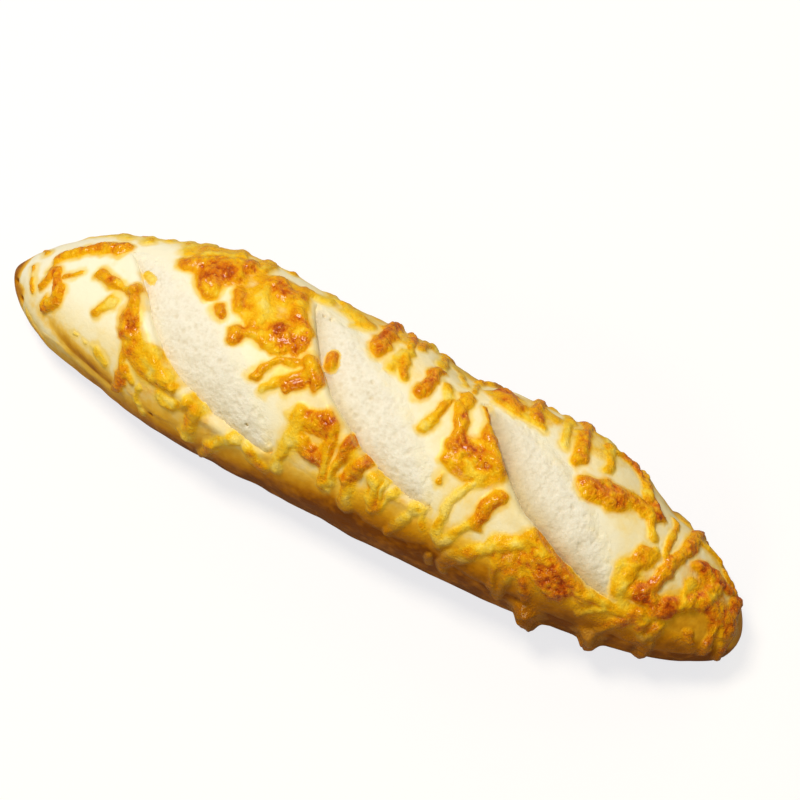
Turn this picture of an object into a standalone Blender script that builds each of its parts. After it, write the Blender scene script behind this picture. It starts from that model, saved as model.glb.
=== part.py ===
"""Provolone bread: one short baton loaf with three slashes and baked-on cheese.

Metres, +Z up. The loaf lies along X and rests at z = 0 on its flat underside,
whose centre is the origin. A place on the crust is given as (x, turn): x in
millimetres along the loaf, turn in degrees from the crown, plus to the near
side (-Y), minus to the far side.
"""

import math
import random

import bmesh
import bpy
from mathutils import Vector

MM = 0.001

# The loaf.
LENGTH = 0.280
WIDTH = 0.0675
HEIGHT = 0.050
BELLY = 0.020              # height of the widest line above the rest surface
UNDERSIDE_SINK = 1.15      # depth of the underside's curve, in bellies, before it rests flat
TOP_ROUNDNESS = 2.1        # superellipse powers of the section, above and below the belly
LOW_ROUNDNESS = 2.5
LEFT_PLAN = (3.6, 0.74)    # (power, root) with which the plan closes at each end
RIGHT_PLAN = (2.6, 0.49)
LEFT_RISE = (2.8, 0.57)    # the same for the crown, seen from the side
RIGHT_RISE = (2.9, 0.50)
BEND = -0.003              # how far the ends lie to the near side of the middle
LEFT_DROOP = 0.013         # how far the belly line sinks towards each tip
RIGHT_DROOP = 0.0115
DEGREE_ARC = 0.6           # mean arc on the upper crust, in millimetres a degree

RINGS = 52
SIDES = 36
TRIANGLES = 10800

# A shred or lip: sides round it, how square its ends are, depth under the crust
# (mm), and a shred's places: one about every so many mm, within limits.
STRIP_SIDES = 6
STRIP_ENDS = 3
STRIP_SINK = 3.0
SHRED_SPACING = 7
SHRED_PLACES = (3, 5)

# Swells and sinks of the crust: x, turn, reach in x (mm), reach (degrees), height (mm).
SWELLS = (
    (-60, -52, 24, 30, 3.0),
    (-105, -60, 18, 30, 1.0),
    (-4, -55, 14, 24, 0.6),
    (25, -60, 12, 26, -4.2),
    (74, -55, 20, 28, 3.2),
    (104, -62, 8, 22, -2.5),
    (128, -60, 14, 30, 1.5),
    (-92, 95, 14, 26, -2.0),
    (-130, 80, 14, 30, 1.5),
    (-35, 100, 30, 28, 1.0),
    (20, 100, 30, 28, 0.8),
    (20, 30, 20, 24, 0.6),
)

# Slashes: x and turn of both tips, half width on the lip side and on the
# smooth side, depth under the lip. All in mm and degrees.
SLASHES = (
    (-97, -29, -18, 53, 14.5, 9.5, 4.2),
    (-31, -40, 38, 42, 11.5, 9.5, 4.2),
    (34, -29, 100, 44, 8.5, 14.0, 4.2),
)
SLASH_LIFT = 9.0           # how far a cutter stands out of the crust
SLASH_EDGE = 0.12          # share of the depth that is left at the smooth side
SLASH_SIDES = 16
SLASH_RINGS = 22

# The raised rim along each slash's steep side: width, height, how much of the
# slash it follows, how far outside the cut it lies, and its number of places.
LIP_WIDTH = 7.0
LIP_HEIGHT = 1.5
LIP_REACH = 0.8
LIP_OUTSIDE = 0.22
LIP_PLACES = 9

# Melted shreds: x and turn of the start and the end, sideways bow, width, height.
SHREDS = {
    "left cap": (
        (-119, -9, -99, -29, -2.5, 6.0, 2.0),
        (-109, -28, -99, -34, 0.0, 8.0, 2.2),
        (-120, 9, -121, 28, -1.0, 5.0, 2.0),
        (-117, 11, -111, 32, 0.5, 5.5, 2.0),
        (-111, 29, -116, 48, -2.0, 6.0, 2.2),
        (-130, 8, -123, 42, 0.5, 4.0, 1.5),
        (-103, -5, -84, 3, 1.4, 4.5, 1.8),
        (-91, 17, -94, 31, 0.5, 4.2, 1.6),
        (-107, -66, -103, -45, 0.0, 4.5, 1.3),
        (-97, -66, -94, -40, 0.0, 4.5, 1.3),
        (-84, -64, -78, -38, 0.0, 5.5, 1.3),
        (-135, 50, -134, 100, 0.0, 6.0, 2.2),
    ),
    "first lip": (
        (-86, 0, -79, 26, 0.0, 5.0, 2.2),
        (-84, 22, -76, 32, 0.0, 9.0, 2.2),
        (-77, 28, -62, 45, 1.0, 8.0, 2.0),
        (-77, 38, -66, 47, 0.0, 8.0, 1.6),
        (-62, 45, -46, 52, 0.0, 5.0, 2.0),
        (-77, 47, -80, 70, 0.0, 4.5, 1.8),
        (-71, 50, -72, 70, 0.0, 4.5, 1.6),
        (-63, 64, -50, 51, -2.5, 4.5, 1.8),
        (-47, 51, -49, 88, 0.0, 5.0, 2.0),
        (-31, 56, -45, 108, 2.0, 5.0, 2.2),
    ),
    "first ridge": (
        (-77, -33, -66, -31, 0.0, 7.5, 2.0),
        (-69, -29, -58, -50, 0.0, 11.0, 2.4),
        (-68, -31, -62, -11, 0.0, 9.0, 2.4),
        (-59, -50, -56, -24, 0.0, 7.0, 2.2),
        (-63, -70, -59, -48, 0.0, 5.0, 2.0),
        (-59, -27, -49, -12, -1.0, 5.0, 2.0),
        (-53, -68, -50, -46, 0.0, 4.0, 1.6),
        (-46, -54, -38, -32, 0.0, 8.0, 2.3),
        (-45, -31, -40, -8, 0.0, 7.0, 1.8),
        (-36, -46, -28, -20, 0.0, 7.5, 2.2),
        (-29, -22, -21, -6, 0.0, 7.5, 2.2),
        (-41, -11, -24, -8, 0.0, 8.0, 2.6),
        (-48, 4, -40, -8, 0.0, 5.5, 1.9),
        (-34, -2, -27, -3, 0.0, 6.0, 2.0),
        (-20, 0, -14, 9, 0.0, 5.0, 2.0),
        (-20, 1, -34, 21, 2.5, 3.8, 1.6),
        (-17, 6, -29, 26, 1.5, 4.0, 1.6),
        (-15, 27, -3, 23, -1.0, 7.0, 2.4),
        (-12, 29, -16, 66, 0.0, 5.5, 1.9),
        (-11, 36, -3, 47, 0.0, 7.0, 2.3),
        (-2, 28, 1, 62, 0.0, 4.5, 2.0),
        (6, 26, 2, 60, 0.0, 5.0, 2.3),
        (13, 32, 9, 49, 0.0, 5.5, 2.3),
        (17, 40, 19, 59, 0.0, 4.5, 1.9),
        (10, 47, 10, 67, 0.0, 6.0, 2.0),
        (24, 40, 21, 58, 0.0, 4.0, 1.6),
        (34, 43, 24, 78, 0.0, 4.0, 1.8),
    ),
    "second ridge": (
        (-16, -13, -12, -4, 0.0, 4.0, 1.5),
        (-9, -68, -1, -26, 0.0, 5.5, 2.3),
        (0, -62, 10, -17, 0.0, 4.2, 1.9),
        (4, -37, 4, -20, 0.0, 4.2, 1.5),
        (-22, -54, -12, -40, 0.0, 8.0, 1.5),
        (17, -38, 16, -8, 0.0, 5.8, 2.4),
        (22, -29, 26, -16, 0.0, 4.0, 1.7),
        (26, -18, 23, 5, 0.0, 4.2, 1.9),
        (29, -28, 37, 13, 0.0, 4.5, 2.1),
        (42, -14, 50, 7, 0.0, 7.0, 2.1),
        (35, 5, 50, 4, 0.0, 7.0, 2.4),
        (36, 14, 46, 13, 0.0, 7.0, 2.0),
        (48, 14, 43, 59, 4.0, 3.6, 1.6),
        (56, 17, 51, 39, 1.5, 5.8, 2.2),
        (51, 37, 43, 61, 0.0, 4.0, 1.6),
        (36, -50, 45, -38, 0.0, 9.0, 2.1),
        (49, -66, 52, -37, 0.0, 5.0, 2.1),
        (8, -66, 18, -43, 0.0, 4.5, 1.6),
    ),
    "third lip": (
        (59, 45, 72, 30, 0.0, 6.5, 2.3),
        (73, 29, 91, 48, 0.0, 6.5, 2.3),
        (69, 45, 82, 51, 0.0, 12.0, 3.0),
        (60, 44, 47, 68, 0.0, 5.0, 1.9),
        (62, 50, 65, 72, 0.0, 4.2, 1.8),
        (68, 55, 66, 82, 0.0, 4.2, 1.9),
        (91, 46, 110, 46, 0.0, 5.5, 1.8),
        (108, 44, 99, 73, 0.0, 5.0, 2.0),
        (98, 50, 91, 64, 0.0, 4.0, 1.6),
        (76, 82, 77, 118, 0.0, 8.0, 4.6),
        (97, 80, 98, 114, 0.0, 6.5, 3.8),
    ),
    "right cap": (
        (59, -66, 64, -31, 0.0, 4.2, 1.7),
        (66, -68, 70, -27, 0.0, 5.5, 2.3),
        (75, -66, 79, -34, 0.0, 4.2, 1.7),
        (90, -66, 95, -38, 0.0, 4.8, 2.0),
        (74, -16, 100, -37, 1.5, 8.5, 2.5),
        (98, -40, 102, -12, 0.0, 4.2, 1.8),
        (106, -44, 108, -5, 0.0, 3.8, 1.5),
        (114, -66, 107, 27, -2.0, 4.8, 2.1),
        (104, -5, 100, 34, 2.0, 8.0, 2.1),
        (105, 28, 115, 33, 0.0, 6.5, 2.7),
        (114, 31, 125, 2, 0.0, 6.5, 2.5),
        (125, 4, 126, -24, 0.0, 6.5, 2.3),
        (119, -23, 130, -34, 0.0, 5.5, 2.1),
        (134, -32, 135, 18, 0.0, 8.0, 2.2),
        (136, 10, 136, 80, 0.0, 6.0, 2.0),
        (124, 35, 126, 50, 0.0, 4.5, 1.9),
        (131, 18, 131, 62, 0.0, 4.5, 1.9),
        (115, 46, 114, 98, 0.0, 5.0, 2.1),
    ),
}

# The far side, which carries shreds laid as thickly as on the near one.
FAR_SEED = 11
FAR_SHREDS = 20
FAR_REACH = 122.0          # from the middle, both ways along x
FAR_TURN = (-112.0, -78.0)
FAR_HALF_RUN = (12.0, 20.0)    # degrees
FAR_LEAN = 5.0
FAR_WIDTH = (4.0, 6.5)
FAR_HEIGHT = (1.5, 2.2)
FAR_PLACES = 4

CRUST_COLOUR = (0.93, 0.82, 0.55, 1.0)
CRUST_ROUGHNESS = 0.5


def side_of(s, left, right):
    """Closing of a profile towards the tips, by its own power and root at each."""
    power, root = left if s < 0 else right
    return max(1 - abs(s) ** power, 0.0) ** root


def swell(x_mm, turn):
    """Height of the crust's swells and sinks at a place, in metres."""
    height = 0.0
    for x, t, reach_x, reach_t, amount in SWELLS:
        height += amount * math.exp(-((x_mm - x) / reach_x) ** 2 - ((turn - t) / reach_t) ** 2)
    return height * MM


def crust_point(x_mm, turn):
    """Point of the bare loaf at x millimetres and turn degrees."""
    s = max(-1.0, min(1.0, x_mm * MM / (LENGTH / 2)))
    plan = side_of(s, LEFT_PLAN, RIGHT_PLAN)
    rise = (HEIGHT - BELLY) * side_of(s, LEFT_RISE, RIGHT_RISE)
    sink = BELLY * UNDERSIDE_SINK * plan
    belly = BELLY - (LEFT_DROOP if s < 0 else RIGHT_DROOP) * abs(s) ** 3
    up = math.cos(math.radians(turn))
    side = math.sin(math.radians(turn))
    power = TOP_ROUNDNESS if up >= 0 else LOW_ROUNDNESS
    reach = (abs(up) ** power + abs(side) ** power) ** (-1 / power)
    extra = swell(x_mm, turn) * plan
    y = -(WIDTH / 2 * plan + extra) * side * reach + BEND * s * s
    z = belly + ((rise if up >= 0 else sink) + extra) * up * reach
    return Vector((LENGTH / 2 * s, y, max(z, 0.0)))


def crust_normal(x_mm, turn):
    """Outward direction of the crust at a place."""
    step = 0.5
    along = crust_point(x_mm + step, turn) - crust_point(x_mm - step, turn)
    around = crust_point(x_mm, turn + step) - crust_point(x_mm, turn - step)
    return around.cross(along).normalized()


def principled(name, colour, roughness):
    material = bpy.data.materials.new(name)
    material.use_nodes = True
    shader = material.node_tree.nodes["Principled BSDF"]
    shader.inputs["Base Color"].default_value = colour
    shader.inputs["Roughness"].default_value = roughness
    shader.inputs["Metallic"].default_value = 0.0
    material.diffuse_color = colour
    return material


def mesh_object(name, bm, collection):
    mesh = bpy.data.meshes.new(name)
    bm.to_mesh(mesh)
    bm.free()
    obj = bpy.data.objects.new(name, mesh)
    collection.objects.link(obj)
    return obj


def make_loaf(collection):
    """Sphere whose poles are the tips, drawn out to the loaf's section and plan."""
    bm = bmesh.new()
    bmesh.ops.create_uvsphere(bm, u_segments=SIDES, v_segments=RINGS, radius=1.0)
    for vert in bm.verts:
        turn = math.degrees(math.atan2(vert.co.y, -vert.co.x))
        vert.co = crust_point(vert.co.z * LENGTH / 2 / MM, turn)
    bmesh.ops.recalc_face_normals(bm, faces=bm.faces)
    return mesh_object("loaf", bm, collection)


def slash_place(slash, along, across):
    """Place on the crust for along and across, each -1 to 1, in a slash's leaf."""
    x0, turn0, x1, turn1, lip_side, smooth_side, _ = slash
    middle = (along + 1) / 2
    run = Vector((x1 - x0, (turn1 - turn0) * DEGREE_ARC))
    sideways = Vector((run.y, -run.x)).normalized()
    shift = across * (lip_side if across < 0 else smooth_side)
    x = x0 + (x1 - x0) * middle + sideways.x * shift
    turn = turn0 + (turn1 - turn0) * middle + sideways.y * shift / DEGREE_ARC
    return x, turn


def make_slash_cutter(index, slash, collection):
    """Leaf-shaped lens that follows the crust, steep under the lip, shallow beyond."""
    depth = slash[6]
    bm = bmesh.new()
    bmesh.ops.create_uvsphere(bm, u_segments=SLASH_SIDES, v_segments=SLASH_RINGS, radius=1.0)
    for vert in bm.verts:
        across, height, along = vert.co
        x, turn = slash_place(slash, along, across)
        steepness = SLASH_EDGE + (1 - across) / 2
        lift = height * (SLASH_LIFT if height > 0 else depth * steepness)
        vert.co = crust_point(x, turn) + crust_normal(x, turn) * lift * MM
    bmesh.ops.recalc_face_normals(bm, faces=bm.faces)
    cutter = mesh_object(f"slash_cutter_{index}", bm, collection)
    cutter.hide_render = True
    cutter.display_type = "WIRE"
    return cutter


def run_points(x0, turn0, x1, turn1, bow, count):
    """Places along a shred that leaves its chord sideways by bow millimetres."""
    run = Vector((x1 - x0, (turn1 - turn0) * DEGREE_ARC))
    sideways = Vector((-run.y, run.x)).normalized()
    places = []
    for i in range(count):
        part = i / (count - 1)
        shift = bow * 4 * part * (1 - part)
        x = x0 + (x1 - x0) * part + sideways.x * shift
        turn = turn0 + (turn1 - turn0) * part + sideways.y * shift / DEGREE_ARC
        places.append((x, turn))
    return places


def make_strip(name, places, width, height, collection):
    """Sphere drawn out along the places: a rounded strip, half sunk in the crust."""
    bm = bmesh.new()
    bmesh.ops.create_uvsphere(bm, u_segments=STRIP_SIDES, v_segments=len(places) + 1, radius=1.0)
    for vert in bm.verts:
        across, up, along = vert.co
        ring = math.sqrt(max(1 - along * along, 0.0))
        fullness = math.sqrt(max(1 - abs(along) ** STRIP_ENDS, 0.0)) / ring if ring > 0.001 else 0.0
        spot = (along + 1) / 2 * (len(places) - 1)
        first = min(int(spot), len(places) - 2)
        (x0, turn0), (x1, turn1) = places[first], places[first + 1]
        part = spot - first
        run = Vector((x1 - x0, (turn1 - turn0) * DEGREE_ARC)).normalized()
        shift = across * fullness * width / 2
        x = x0 + (x1 - x0) * part - run.y * shift
        turn = turn0 + (turn1 - turn0) * part + run.x * shift / DEGREE_ARC
        lift = up * fullness * (height if up > 0 else STRIP_SINK)
        vert.co = crust_point(x, turn) + crust_normal(x, turn) * lift * MM
    bmesh.ops.recalc_face_normals(bm, faces=bm.faces)
    return mesh_object(name, bm, collection)


def make_lips(collection):
    """Raised rim of crust along the steep side of each slash."""
    for index, slash in enumerate(SLASHES):
        places = []
        for i in range(LIP_PLACES):
            along = LIP_REACH * (2 * i / (LIP_PLACES - 1) - 1)
            edge = -math.sqrt(1 - along * along)
            places.append(slash_place(slash, along, edge - LIP_OUTSIDE))
        make_strip(f"lip_{index}", places, LIP_WIDTH, LIP_HEIGHT, collection)


def make_shreds(collection):
    """Melted shreds in the places that show, and a seeded lot on the far side."""
    for group, rows in SHREDS.items():
        for index, (x0, turn0, x1, turn1, bow, width, height) in enumerate(rows):
            run = math.hypot(x1 - x0, (turn1 - turn0) * DEGREE_ARC)
            fewest, most = SHRED_PLACES
            count = max(fewest, min(most, round(run / SHRED_SPACING) + 1))
            places = run_points(x0, turn0, x1, turn1, bow, count)
            name = group.replace(" ", "_") + f"_{index}"
            make_strip(name, places, width, height, collection)
    draw = random.Random(FAR_SEED)
    for index in range(FAR_SHREDS):
        x = FAR_REACH * (2 * (index + draw.uniform(0.2, 0.8)) / FAR_SHREDS - 1)
        turn = draw.uniform(*FAR_TURN)
        lean = draw.uniform(-FAR_LEAN, FAR_LEAN)
        half = draw.uniform(*FAR_HALF_RUN)
        places = run_points(x - lean, turn - half, x + lean, turn + half, 0.0, FAR_PLACES)
        width = draw.uniform(*FAR_WIDTH)
        height = draw.uniform(*FAR_HEIGHT)
        make_strip(f"far_{index}", places, width, height, collection)


def apply_modifiers(obj):
    """Give obj the mesh that its modifiers make, and drop them."""
    bpy.context.view_layer.update()
    graph = bpy.context.evaluated_depsgraph_get()
    result = bpy.data.meshes.new_from_object(obj.evaluated_get(graph))
    obj.modifiers.clear()
    old = obj.data
    obj.data = result
    bpy.data.meshes.remove(old)


def boolean(obj, operation, group):
    """Apply one Boolean to obj with a collection."""
    modifier = obj.modifiers.new(operation.lower(), "BOOLEAN")
    modifier.operation = operation
    modifier.solver = "EXACT"
    modifier.operand_type = "COLLECTION"
    modifier.collection = group
    apply_modifiers(obj)


def thin_out(obj, triangles):
    """Collapse the slivers that the Booleans leave, down to a number of triangles."""
    modifier = obj.modifiers.new("thin_out", "DECIMATE")
    modifier.ratio = triangles / len(obj.data.polygons)
    apply_modifiers(obj)


def keep_outer_shell(obj):
    """Drop loose scraps and fill sealed hollows, which leaves the largest shell."""
    bm = bmesh.new()
    bm.from_mesh(obj.data)
    bmesh.ops.triangulate(bm, faces=bm.faces)
    shells = []
    unseen = set(bm.faces)
    while unseen:
        shell = [unseen.pop()]
        for face in shell:
            for edge in face.edges:
                for other in edge.link_faces:
                    if other in unseen:
                        unseen.remove(other)
                        shell.append(other)
        shells.append(shell)
    largest = max(shells, key=len)
    for shell in shells:
        if shell is not largest:
            bmesh.ops.delete(bm, geom=shell, context="FACES")
    bm.to_mesh(obj.data)
    bm.free()


def new_collection(name):
    collection = bpy.data.collections.new(name)
    bpy.context.scene.collection.children.link(collection)
    return collection


for old_object in list(bpy.data.objects):
    bpy.data.objects.remove(old_object)

bread = new_collection("provolone_bread")
cutters = new_collection("slash_cutters")
toppings = new_collection("melted_cheese")

loaf = make_loaf(bread)
for number, slash_row in enumerate(SLASHES):
    make_slash_cutter(number, slash_row, cutters)
boolean(loaf, "DIFFERENCE", cutters)
make_lips(toppings)
make_shreds(toppings)
boolean(loaf, "UNION", toppings)
for piece in list(toppings.objects):
    bpy.data.objects.remove(piece)
keep_outer_shell(loaf)
thin_out(loaf, TRIANGLES)
loaf.data.materials.clear()
loaf.data.materials.append(principled("baked_crust", CRUST_COLOUR, CRUST_ROUGHNESS))
loaf.data.shade_smooth()
loaf.data.set_sharp_from_angle(angle=math.radians(40))
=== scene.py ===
import math
from collections import namedtuple

import bpy
import numpy as np
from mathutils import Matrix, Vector


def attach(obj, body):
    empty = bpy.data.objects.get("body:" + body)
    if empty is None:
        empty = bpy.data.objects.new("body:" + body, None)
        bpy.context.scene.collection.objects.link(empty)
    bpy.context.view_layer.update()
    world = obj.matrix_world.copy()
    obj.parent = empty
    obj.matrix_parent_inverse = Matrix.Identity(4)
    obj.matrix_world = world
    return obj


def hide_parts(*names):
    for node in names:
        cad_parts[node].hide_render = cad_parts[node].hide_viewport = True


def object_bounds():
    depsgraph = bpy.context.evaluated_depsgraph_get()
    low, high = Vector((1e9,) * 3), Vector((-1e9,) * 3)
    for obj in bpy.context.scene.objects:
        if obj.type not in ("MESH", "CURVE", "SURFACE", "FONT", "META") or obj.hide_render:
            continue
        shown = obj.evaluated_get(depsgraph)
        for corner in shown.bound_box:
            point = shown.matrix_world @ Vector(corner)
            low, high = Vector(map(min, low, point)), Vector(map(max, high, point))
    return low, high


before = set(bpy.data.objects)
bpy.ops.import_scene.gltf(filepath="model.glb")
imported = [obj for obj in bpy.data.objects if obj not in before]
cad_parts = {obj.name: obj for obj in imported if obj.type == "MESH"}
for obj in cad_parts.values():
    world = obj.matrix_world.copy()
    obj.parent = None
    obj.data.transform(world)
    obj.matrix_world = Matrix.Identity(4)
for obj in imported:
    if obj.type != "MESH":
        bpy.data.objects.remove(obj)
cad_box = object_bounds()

# ---------------------------------------------------------------------------
# Crust. The baked skin of a short baton of white bread: wheat dough, cream on
# the crown and browner low down. It is one closed skin round the whole loaf,
# cut by three slashes, and it dives under the crumb inside each of them.

# A place on the loaf is x in mm along it and turn in degrees from the crown,
# plus to the near side. Heights are in mm above the bare loaf.
MM = 0.001
LENGTH = round((cad_box[1][0] - cad_box[0][0]) / MM, 1)
WIDTH = 67.5
HEIGHT = 50.0
# Height of the widest line, and how deep the underside curves below it, in
# bellies, before it rests flat.
BELLY = 20.0
UNDERSIDE_SINK = 1.15
# Superellipse powers of the section above and below the widest line.
TOP_ROUNDNESS = 2.1
LOW_ROUNDNESS = 2.5
# Power and root with which the plan and the crown's line close at each end.
LEFT_PLAN = (3.6, 0.74)
RIGHT_PLAN = (2.6, 0.49)
LEFT_RISE = (2.8, 0.57)
RIGHT_RISE = (2.9, 0.50)
# How far the ends lie to the near side, and the widest line sinks to each tip.
BEND = -3.0
LEFT_DROOP = 13.0
RIGHT_DROOP = 11.5
# Mean arc on the upper crust, in mm a degree.
DEGREE_ARC = 0.6
# Outward directions are taken over this step, in mm and degrees, and no nearer
# than this to a tip.
NORMAL_STEP = 0.5
TIP_GUARD = 0.6

# Swells and sinks of the dough: x, turn, reach in x, reach in turn, height.
SWELLS = (
    (-60, -52, 24, 30, 3.0),
    (-105, -60, 18, 30, 1.0),
    (-4, -55, 14, 24, 0.6),
    (25, -60, 12, 26, -4.2),
    (74, -55, 20, 28, 3.2),
    (104, -62, 8, 22, -2.5),
    (128, -60, 14, 30, 1.5),
    (-92, 95, 14, 26, -2.0),
    (-130, 80, 14, 30, 1.5),
    (-35, 100, 30, 28, 1.0),
    (20, 100, 30, 28, 0.8),
    (20, 30, 20, 24, 0.6),
)

# Slashes: x and turn of both tips, half width on the lip side and on the smooth
# side, depth under the lip, and how slowly the lip side widens from its first tip.
Slash = namedtuple("Slash", "x0 turn0 x1 turn1 lip_side smooth_side depth opening")
SLASHES = (
    Slash(-97, -29, -16, 57, 15.4, 9.6, 2.7, 1.2),
    Slash(-31, -40, 38, 42, 13.0, 9.6, 2.7, 2.0),
    Slash(34, -29, 100, 44, 8.3, 15.0, 2.4, 1.5),
)
# Power and root with which the edges close, and their ripples: size across,
# height and seed.
LIP_CLOSING = (2.1, 0.68)
SMOOTH_CLOSING = (2.4, 0.75)
LIP_RIPPLE = ((6.0, 0.5, 3),)
SMOOTH_RIPPLE = ((5.0, 0.9, 4),)
# The lip: its height, how far outside the edge its crest lies, how far it
# slopes away and drops inwards, and how it overhangs the crumb.
LIP_HEIGHT = 1.5
LIP_CREST = 1.6
LIP_REACH = 3.0
LIP_FACE = 1.2
LIP_DROP = (-0.2, 0.9)
LIP_FADE = 3.5
LIP_OVERHANG = 0.7
OVERHANG_PLACE = 0.3
OVERHANG_REACH = 1.3
OVERHANG_RUN = (0.55, -0.82)
# The crumb's bulge, how it rises from the lip, the crust's dive under it, and
# how wide the smooth side eases into it.
CRUMB_BULGE = 0.9
CRUMB_RISE = 1.3
CRUST_UNDER_CRUMB = 1.1
SMOOTH_EASE = 4.0

# The fold of dough that was tucked in at the left end: its path, depth, reach, and
# the roll that stands out below it.
CREASE = ((-126, 40), (-114, 56), (-107, 61), (-99, 69), (-90, 73), (-82, 76), (-74, 81))
CREASE_DEPTH = 0.55
CREASE_REACH = 3.0
CREASE_FADE = 0.7
ROLL_HEIGHT = 0.4
ROLL_OFFSET = 4.2
ROLL_REACH = 2.6

# Small open holes in the crust: x, turn, radius and depth.
CRUST_HOLES = (
    (-134, 47, 1.1, 1.6),
    (-128, 62, 1.0, 1.5),
    (-63, 77, 0.75, 0.7),
    (33, 73, 0.6, 0.4),
    (27, 76, 0.6, 0.4),
)
# Lumps of the dough: size across, height and seed. Those of the sides set in
# below the first pair of heights and end at the foot, the second pair.
SKIN_LUMPS = ((26.0, 0.55, 1), (9.0, 0.22, 2), (3.2, 0.06, 5))
SIDE_LUMPS = ((6.0, 0.30, 6),)
SIDE_TOP = (34, 22)
SIDE_FOOT = (2, 8)
# Past this turn the lumps fade out over the lowest mm, so that the foot is flat.
FOOT_TURN = 110
FOOT_EASE = 4.0

# The net of the skin: stations along it, which crowd over the last share to
# each tip, and steps round it above a turn and below that.
CRUST_STATIONS = 334
CRUST_TOP_STEPS = 236
CRUST_LOW_STEPS = 56
CRUST_TOP_TURN = 114.0
TIP_SHARE = 0.08
TIP_CROWDING = 1.7


def hash_of(cells, seed):
    """A fixed random number from 0 to 1 for each whole-number cell."""
    bits = cells[:, 0] * 73856093 ^ cells[:, 1] * 19349663 ^ cells[:, 2] * 83492791
    bits = bits + seed * 2654435761
    bits = (bits ^ bits >> 15) * 2246822519 & 0xFFFFFFFF
    bits = (bits ^ bits >> 13) * 3266489917 & 0xFFFFFFFF
    return (bits ^ bits >> 16 & 0xFFFF) / 0xFFFFFFFF


def noise_at(points, size, seed):
    """Smooth noise from -1 to 1 at points in mm, with lumps about size mm across."""
    spot = points / size + 57.3 * seed
    cell = np.floor(spot).astype(np.int64)
    part = spot - cell
    part = part * part * (3 - 2 * part)
    total = np.zeros(len(points))
    for corner in range(8):
        step = np.array([corner & 1, corner >> 1 & 1, corner >> 2 & 1])
        weight = np.prod(np.where(step, part, 1 - part), axis=1)
        total += weight * hash_of(cell + step, seed)
    return total * 2 - 1


def lumps_of(points, rows):
    """Sum of noises at points, each given as size across, height and seed."""
    return sum(height * noise_at(points, size, seed) for size, height, seed in rows)


def smooth_step(low, high, value):
    """0 up to low, 1 from high and smooth between; it falls where high is the lower."""
    part = np.clip((value - low) / (high - low), 0, 1)
    return part * part * (3 - 2 * part)


def closing(s, left, right):
    """How a profile closes towards the two tips."""
    power = np.where(s < 0, left[0], right[0])
    root = np.where(s < 0, left[1], right[1])
    return np.clip(1 - np.abs(s) ** power, 0, 1) ** root


def loaf_points(x, turn):
    """Points of the bare loaf, in mm."""
    s = np.clip(x / (LENGTH / 2), -1, 1)
    plan = closing(s, LEFT_PLAN, RIGHT_PLAN)
    rise = (HEIGHT - BELLY) * closing(s, LEFT_RISE, RIGHT_RISE)
    belly = BELLY - np.where(s < 0, LEFT_DROOP, RIGHT_DROOP) * np.abs(s) ** 3
    up = np.cos(np.radians(turn))
    side = np.sin(np.radians(turn))
    power = np.where(up >= 0, TOP_ROUNDNESS, LOW_ROUNDNESS)
    reach = (np.abs(up) ** power + np.abs(side) ** power) ** (-1 / power)
    swell = np.zeros_like(s + turn)
    for at_x, at_turn, reach_x, reach_turn, height in SWELLS:
        swell += height * np.exp(-((x - at_x) / reach_x) ** 2 - ((turn - at_turn) / reach_turn) ** 2)
    swell *= plan
    y = -(WIDTH / 2 * plan + swell) * side * reach + BEND * s * s
    z = belly + (np.where(up >= 0, rise, BELLY * UNDERSIDE_SINK * plan) + swell) * up * reach
    return np.stack([LENGTH / 2 * s + 0 * y, y, np.maximum(z, 0)], -1)


def loaf_normals(x, turn):
    """Outward directions of the bare loaf, even at the tips."""
    x = np.clip(x, -LENGTH / 2 + TIP_GUARD, LENGTH / 2 - TIP_GUARD)
    along = loaf_points(x + NORMAL_STEP, turn) - loaf_points(x - NORMAL_STEP, turn)
    around = loaf_points(x, turn + NORMAL_STEP) - loaf_points(x, turn - NORMAL_STEP)
    normal = np.cross(around, along)
    return normal / np.maximum(np.linalg.norm(normal, axis=-1, keepdims=True), 1e-9)


def distance_to(points, x, turn):
    """Distance in mm from points to one place on the bare loaf."""
    return np.linalg.norm(points - loaf_points(np.array(x), np.array(turn)), axis=1)


def slash_run(slash):
    """Direction in which a slash runs, in mm of x and mm of arc, and its length."""
    run = np.array([slash.x1 - slash.x0, (slash.turn1 - slash.turn0) * DEGREE_ARC])
    length = np.hypot(*run)
    return run / length, length


def slash_frame(slash, x, turn):
    """Where places lie in a slash: along it (-1 to 1), and mm inside each edge."""
    run, length = slash_run(slash)
    dx = x - slash.x0
    dv = (turn - slash.turn0) * DEGREE_ARC
    along = 2 * (dx * run[0] + dv * run[1]) / length - 1
    across = dx * run[1] - dv * run[0]
    inner = np.clip(np.abs(along), 0, 1)
    first_half = along < 0
    lip_power = np.where(first_half, slash.opening, LIP_CLOSING[0])
    lip_root = np.where(first_half, 1.0, LIP_CLOSING[1])
    lip_edge = slash.lip_side * (1 - inner ** lip_power) ** lip_root
    smooth_edge = slash.smooth_side * (1 - inner ** SMOOTH_CLOSING[0]) ** SMOOTH_CLOSING[1]
    spot = np.stack([along * length / 2, 0 * along, 0 * along + slash.x0], -1).reshape(-1, 3)
    lip_edge = lip_edge + lumps_of(spot, LIP_RIPPLE).reshape(along.shape) * (lip_edge > 2)
    smooth_edge = smooth_edge + lumps_of(spot, SMOOTH_RIPPLE).reshape(along.shape)
    return along, lip_edge + across, smooth_edge - across


def slash_floor(slash, along, from_lip, from_smooth):
    """Height of the crumb in a slash: sunk beside the lip, and bulging further in."""
    share = from_lip / np.maximum(from_lip + from_smooth, 0.5)
    share = np.clip(share, 0, 1)
    fade = 1 - np.clip(np.abs(along), 0, 1) ** 4
    return fade * (CRUMB_BULGE * np.sin(math.pi * share) - slash.depth * (1 - share) ** CRUMB_RISE)


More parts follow.
